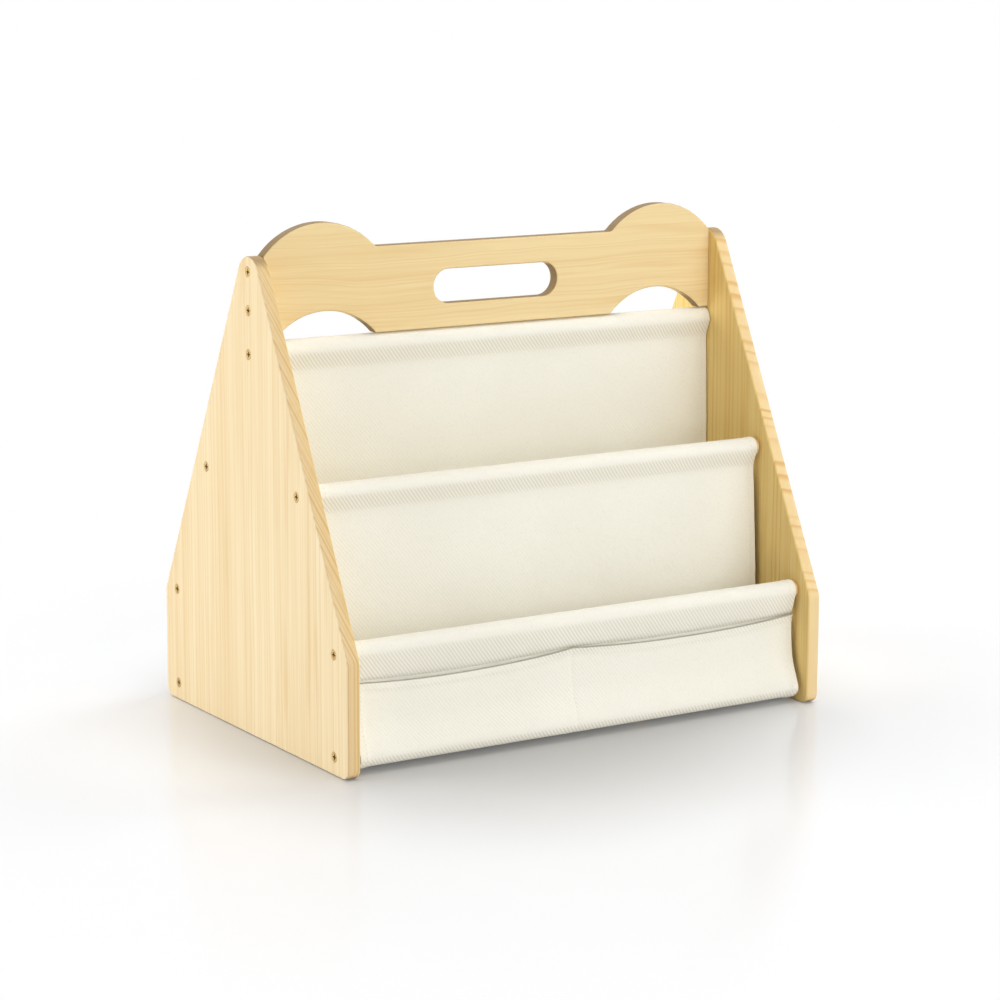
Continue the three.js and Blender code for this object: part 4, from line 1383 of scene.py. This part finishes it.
class PouchCloth:
    """The cloth of two pouches: down from their upper edge and round under the bottom casing."""

    def __init__(self, seed):
        size, pouch = settings().cloth, settings().pouch
        self.seed = seed
        self.hung = ShelfCloth()
        self.hanging = (pouch.left_height + pouch.right_height) / 2 - self.hung.slack.y
        self.whole = self.hanging + WRAP_TURN * (size.bottom_casing_radius + pouch.lap)
        self.lines = {}

    def line_at(self, across):
        """The line that the cloth follows at one place across it."""
        if across not in self.lines:
            self.lines[across] = self.shape_line(across)
        return self.lines[across]

    def shape_line(self, across):
        size, pouch, hung = settings().cloth, settings().pouch, self.hung
        edge, swell = pouch_edge(across)
        fold = size.half_width - size.hem_width
        lap = pouch.lap + size.hem_rise * ease(abs(across), fold - DOUBLED_START, fold)
        knots = []
        for i in range(POUCH_STEPS):
            height = edge + (hung.slack.y - edge) * i / POUCH_STEPS
            stands = max(0, (height - pouch.foot_height) / (edge - pouch.foot_height))
            swollen = pouch.foot_swell * ease(height, SWELL_HEIGHT, hung.slack.y)
            out = hung.panel_out(height) + lap + pouch.gape * swell * stands + swollen
            knots.append(Vector((out, height)))
        for way in arc_points(Vector((0, 0)), 1, 0, -WRAP_TURN, WRAP_STEPS):
            radius = size.bottom_casing_radius + lap
            knots.append(hung.slack + Vector((
                way.x * (radius + pouch.foot_swell * max(0, way.x)), way.y * radius)))
        return HungLine(knots)

    def place(self, across, down):
        """Where one point of the cloth lies, with light ripples, and drawn in along the seam."""
        size, pouch = settings().cloth, settings().pouch
        line = self.line_at(across)
        point, way = line.at(down / self.whole * line.length)
        from_seam = abs(across + pouch.seam_offset)
        sway = size.ripple * POUCH_RIPPLE * ripple(across, down, self.seed) * ease(
            self.whole - down, *POUCH_RIPPLE_FADE)
        sway += size.pucker * SEAM_PUCKER * pucker(down, self.seed) * ease(from_seam, *SEAM_PUCKER_REACH)
        sway *= ease(size.half_width - abs(across), *POUCH_SIDE_FADE)
        sway -= pouch.seam_dip * ease(from_seam, *SEAM_DIP_REACH) * ease(down, *SEAM_DIP_START)
        return swayed(point, way, across, sway)

    @staticmethod
    def hem_share(across, down):
        """Where the pouches' upper edge and sides are folded over into a hem."""
        size = settings().cloth
        top_hem = 1 - ease(down, size.hem_width - TOP_HEM_START, size.hem_width + TOP_HEM_END)
        return max(top_hem, side_hem(across, size.half_width))


class BOOKSHELF_OT_pouches(bpy.types.Operator):
    """Sew the pair of open pouches to the lower panel of cloth on each side"""
    bl_idname = "bookshelf.pouches"
    bl_label = "Pouches"

    def execute(self, context):
        size = settings().cloth
        seam = -settings().pouch.seam_offset
        inset = settings().stitch.hem_inset
        edge = size.half_width - inset
        columns = [stop for stop in hemmed_stops(size.half_width, size.hem_width, size.grid_step)
                   if abs(stop - seam) > SEAM_CLEARANCE]
        columns = sorted({*columns, *(seam + shift for shift in SEAM_COLUMNS)})
        for end, turn in END_TURNS.items():
            cloth = PouchCloth(POUCH_SEEDS[end])
            rows = [*TOP_HEM_ROWS, *even_stops(FIRST_EVEN_ROW, cloth.whole, size.grid_step)]
            bm = bmesh.new()
            lay_cloth(bm, columns, rows, cloth.place, cloth.hem_share)
            piece = finish_cloth(f"{end}_pouches", bm, turn, [f"{end}_pouch"])
            stitches = sew(f"{end}_pouches_stitches", cloth.place, cloth.hem_share, [
                ((-edge, inset), (edge, inset)), ((-edge, inset), (-edge, cloth.whole)),
                ((edge, inset), (edge, cloth.whole)), ((seam, inset), (seam, cloth.hanging))], turn)
        return {"FINISHED"}


# Studio

FLOOR_RADIUS, FLOOR_SIDES, FLOOR_DROP = 7, 64, 0.0002
# The painted shadow on the floor is stretched along the view and across it, and ends at these distances
FLOOR_STRETCH = (0.94, 1.3, 1)
PAINTED_SHADOW_REACH, PLAIN_WHITE_REACH = (0.146, 0.384), (0.379, 0.643)
# Each lamp's turn round the shelf from its front and its height over the horizon, in degrees
LAMPS = {
    "top": (0, 72), "low": (0, 10), "fill": (35, 20),
    "rear": (180, 50), "left": (-115, 15), "right": (100, 35)}


def way_towards(azimuth, elevation):
    """The way from the shelf to something that stands round it at a turn from the front, and at a height."""
    level = math.cos(elevation)
    return Vector((math.sin(azimuth) * level, -math.cos(azimuth) * level, math.sin(elevation)))


def make_floor(name):
    """Pale floor with a painted shadow close round the shelf, that the camera sees fade to plain white
    further out.
    """
    stage, finish = settings().stage, settings().finish
    material, tree, shader = new_material(name, roughness=0.16, **{"Specular IOR Level": 0.18})
    turned = place_node(
        tree, "ShaderNodeMapping",
        {"Vector": object_place(tree), "Rotation": (0, 0, stage.azimuth), "Scale": FLOOR_STRETCH},
        vector_type="TEXTURE").outputs[0]
    away = place_node(tree, "ShaderNodeVectorMath", {0: turned}, operation="LENGTH").outputs["Value"]
    seen = place_node(tree, "ShaderNodeLightPath").outputs["Is Camera Ray"]
    shadowed = spread(tree, away, *PAINTED_SHADOW_REACH, 1.0, 0.0)
    shown = mix_colours(tree, shadowed, linear(finish.floor), linear(finish.floor_painted_shadow))
    feed_shader(tree, shader, mix_colours(tree, seen, linear(finish.bounce), shown))
    faded = spread(tree, away, *PLAIN_WHITE_REACH, stage.floor_glow, 1.0)
    white = place_node(tree, "ShaderNodeEmission", {"Strength": 1.0})
    both = place_node(
        tree, "ShaderNodeMixShader", {0: times(tree, faded, seen), 1: shader.outputs[0], 2: white.outputs[0]})
    tree.links.new(both.outputs[0], tree.get_output_node("ALL").inputs["Surface"])
    return material


class BOOKSHELF_OT_stage(bpy.types.Operator):
    """Lay the pale floor, hang the soft lights and set up the camera"""
    bl_idname = "bookshelf.stage"
    bl_label = "Stage"

    def execute(self, context):
        self.add_floor()
        self.add_lights()
        self.add_sky()
        self.add_camera()
        context.scene.view_settings.view_transform = "Standard"
        return {"FINISHED"}

    @staticmethod
    def add_floor():
        bm = bmesh.new()
        bmesh.ops.create_circle(
            bm, cap_ends=True, radius=FLOOR_RADIUS, segments=FLOOR_SIDES,
            matrix=Matrix.Translation((0, 0, -FLOOR_DROP)))
        mesh = bpy.data.meshes.new("studio_floor")
        bm.to_mesh(mesh)
        bm.free()
        mesh.materials.append(shared_material("pale_floor", make_floor))
        floor = bpy.data.objects.new("studio_floor", mesh)
        bpy.context.scene.collection.objects.link(floor)
        floor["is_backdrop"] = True

    @staticmethod
    def add_lights():
        stage = settings().stage
        middle = Vector((0, 0, extent("handle_board")[1].z / 2))
        for name, (azimuth, elevation) in LAMPS.items():
            lamp = bpy.data.lights.new(f"{name}_light", "AREA")
            lamp.energy = getattr(stage, f"{name}_power")
            lamp.size = stage.lamp_size
            light = bpy.data.objects.new(f"{name}_light", lamp)
            way = way_towards(math.radians(azimuth), math.radians(elevation))
            light.location = middle + stage.lamp_distance * way
            light.rotation_mode = "QUATERNION"
            light.rotation_quaternion = (-way).to_track_quat("-Z", "Y")
            bpy.context.scene.collection.objects.link(light)

    @staticmethod
    def add_sky():
        """White where it is seen, also in gloss and through glass, and weak where it lights the shelf."""
        level = settings().stage.sky_level
        world = bpy.data.worlds.new("studio_sky")
        bpy.context.scene.world = world
        world.use_nodes = True
        tree = world.node_tree
        tree.nodes.clear()
        ray = place_node(tree, "ShaderNodeLightPath").outputs
        shown = calculate(tree, "MAXIMUM", ray["Is Camera Ray"], ray["Is Glossy Ray"])
        shown = calculate(tree, "MAXIMUM", shown, ray["Is Transmission Ray"])
        strength = calculate(tree, "MULTIPLY_ADD", shown, 1 - level, level)
        sky = place_node(tree, "ShaderNodeBackground", {"Color": (1, 1, 1, 1), "Strength": strength})
        place_node(tree, "ShaderNodeOutputWorld", {"Surface": sky.outputs[0]})

    @staticmethod
    def add_camera():
        stage = settings().stage
        data = bpy.data.cameras.new("studio_camera")
        data.lens = stage.lens
        camera = bpy.data.objects.new("studio_camera", data)
        bpy.context.scene.collection.objects.link(camera)
        forward = -way_towards(stage.azimuth, stage.elevation)
        level = forward.cross(Vector((0, 0, 1))).normalized()
        upright = level.cross(forward)
        right = math.cos(stage.roll) * level + math.sin(stage.roll) * upright
        up = math.cos(stage.roll) * upright - math.sin(stage.roll) * level
        turn = Matrix((right, up, -forward)).transposed()
        camera.matrix_world = Matrix.Translation(stage.camera_place) @ turn.to_4x4()
        bpy.context.scene.camera = camera


class BOOKSHELF_PT_sidebar(bpy.types.Panel):
    """Builds the bookshelf's pieces and shows its sizes and colours"""
    bl_idname = "BOOKSHELF_PT_sidebar"
    bl_label = "Sling bookshelf"
    bl_space_type = "VIEW_3D"
    bl_region_type = "UI"
    bl_category = "Bookshelf"

    def draw(self, context):
        for operator in OPERATORS:
            self.layout.operator(operator.bl_idname)
        for label in BookshelfSettings.__annotations__:
            box = self.layout.box()
            box.label(text=label.capitalize())
            group = getattr(settings(), label)
            for entry in type(group).__annotations__:
                box.prop(group, entry)


OPERATORS = (
    BOOKSHELF_OT_side_panels,
    BOOKSHELF_OT_handle_board,
    BOOKSHELF_OT_rods,
    BOOKSHELF_OT_screws,
    BOOKSHELF_OT_slings,
    BOOKSHELF_OT_pouches,
    BOOKSHELF_OT_stage,
)
CLASSES = (
    PanelSizes, BoardSizes, RodSizes, ScrewSizes, ClothSizes, PouchSizes, StitchSizes, Finishes,
    StageSettings, BookshelfSettings, *OPERATORS, BOOKSHELF_PT_sidebar)


def register():
    for entry in CLASSES:
        bpy.utils.register_class(entry)
    bpy.types.Scene.bookshelf = PointerProperty(type=BookshelfSettings)


def unregister():
    del bpy.types.Scene.bookshelf
    for entry in reversed(CLASSES):
        bpy.utils.unregister_class(entry)


def main():
    register()
    for operator in OPERATORS:
        group, name = operator.bl_idname.split(".")
        getattr(getattr(bpy.ops, group), name)()
    boxes = {"cad": cad_bounds, "visual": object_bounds()}
    {label: [list(corner) for corner in box] for label, box in boxes.items()}


if __name__ == "__main__":
    main()
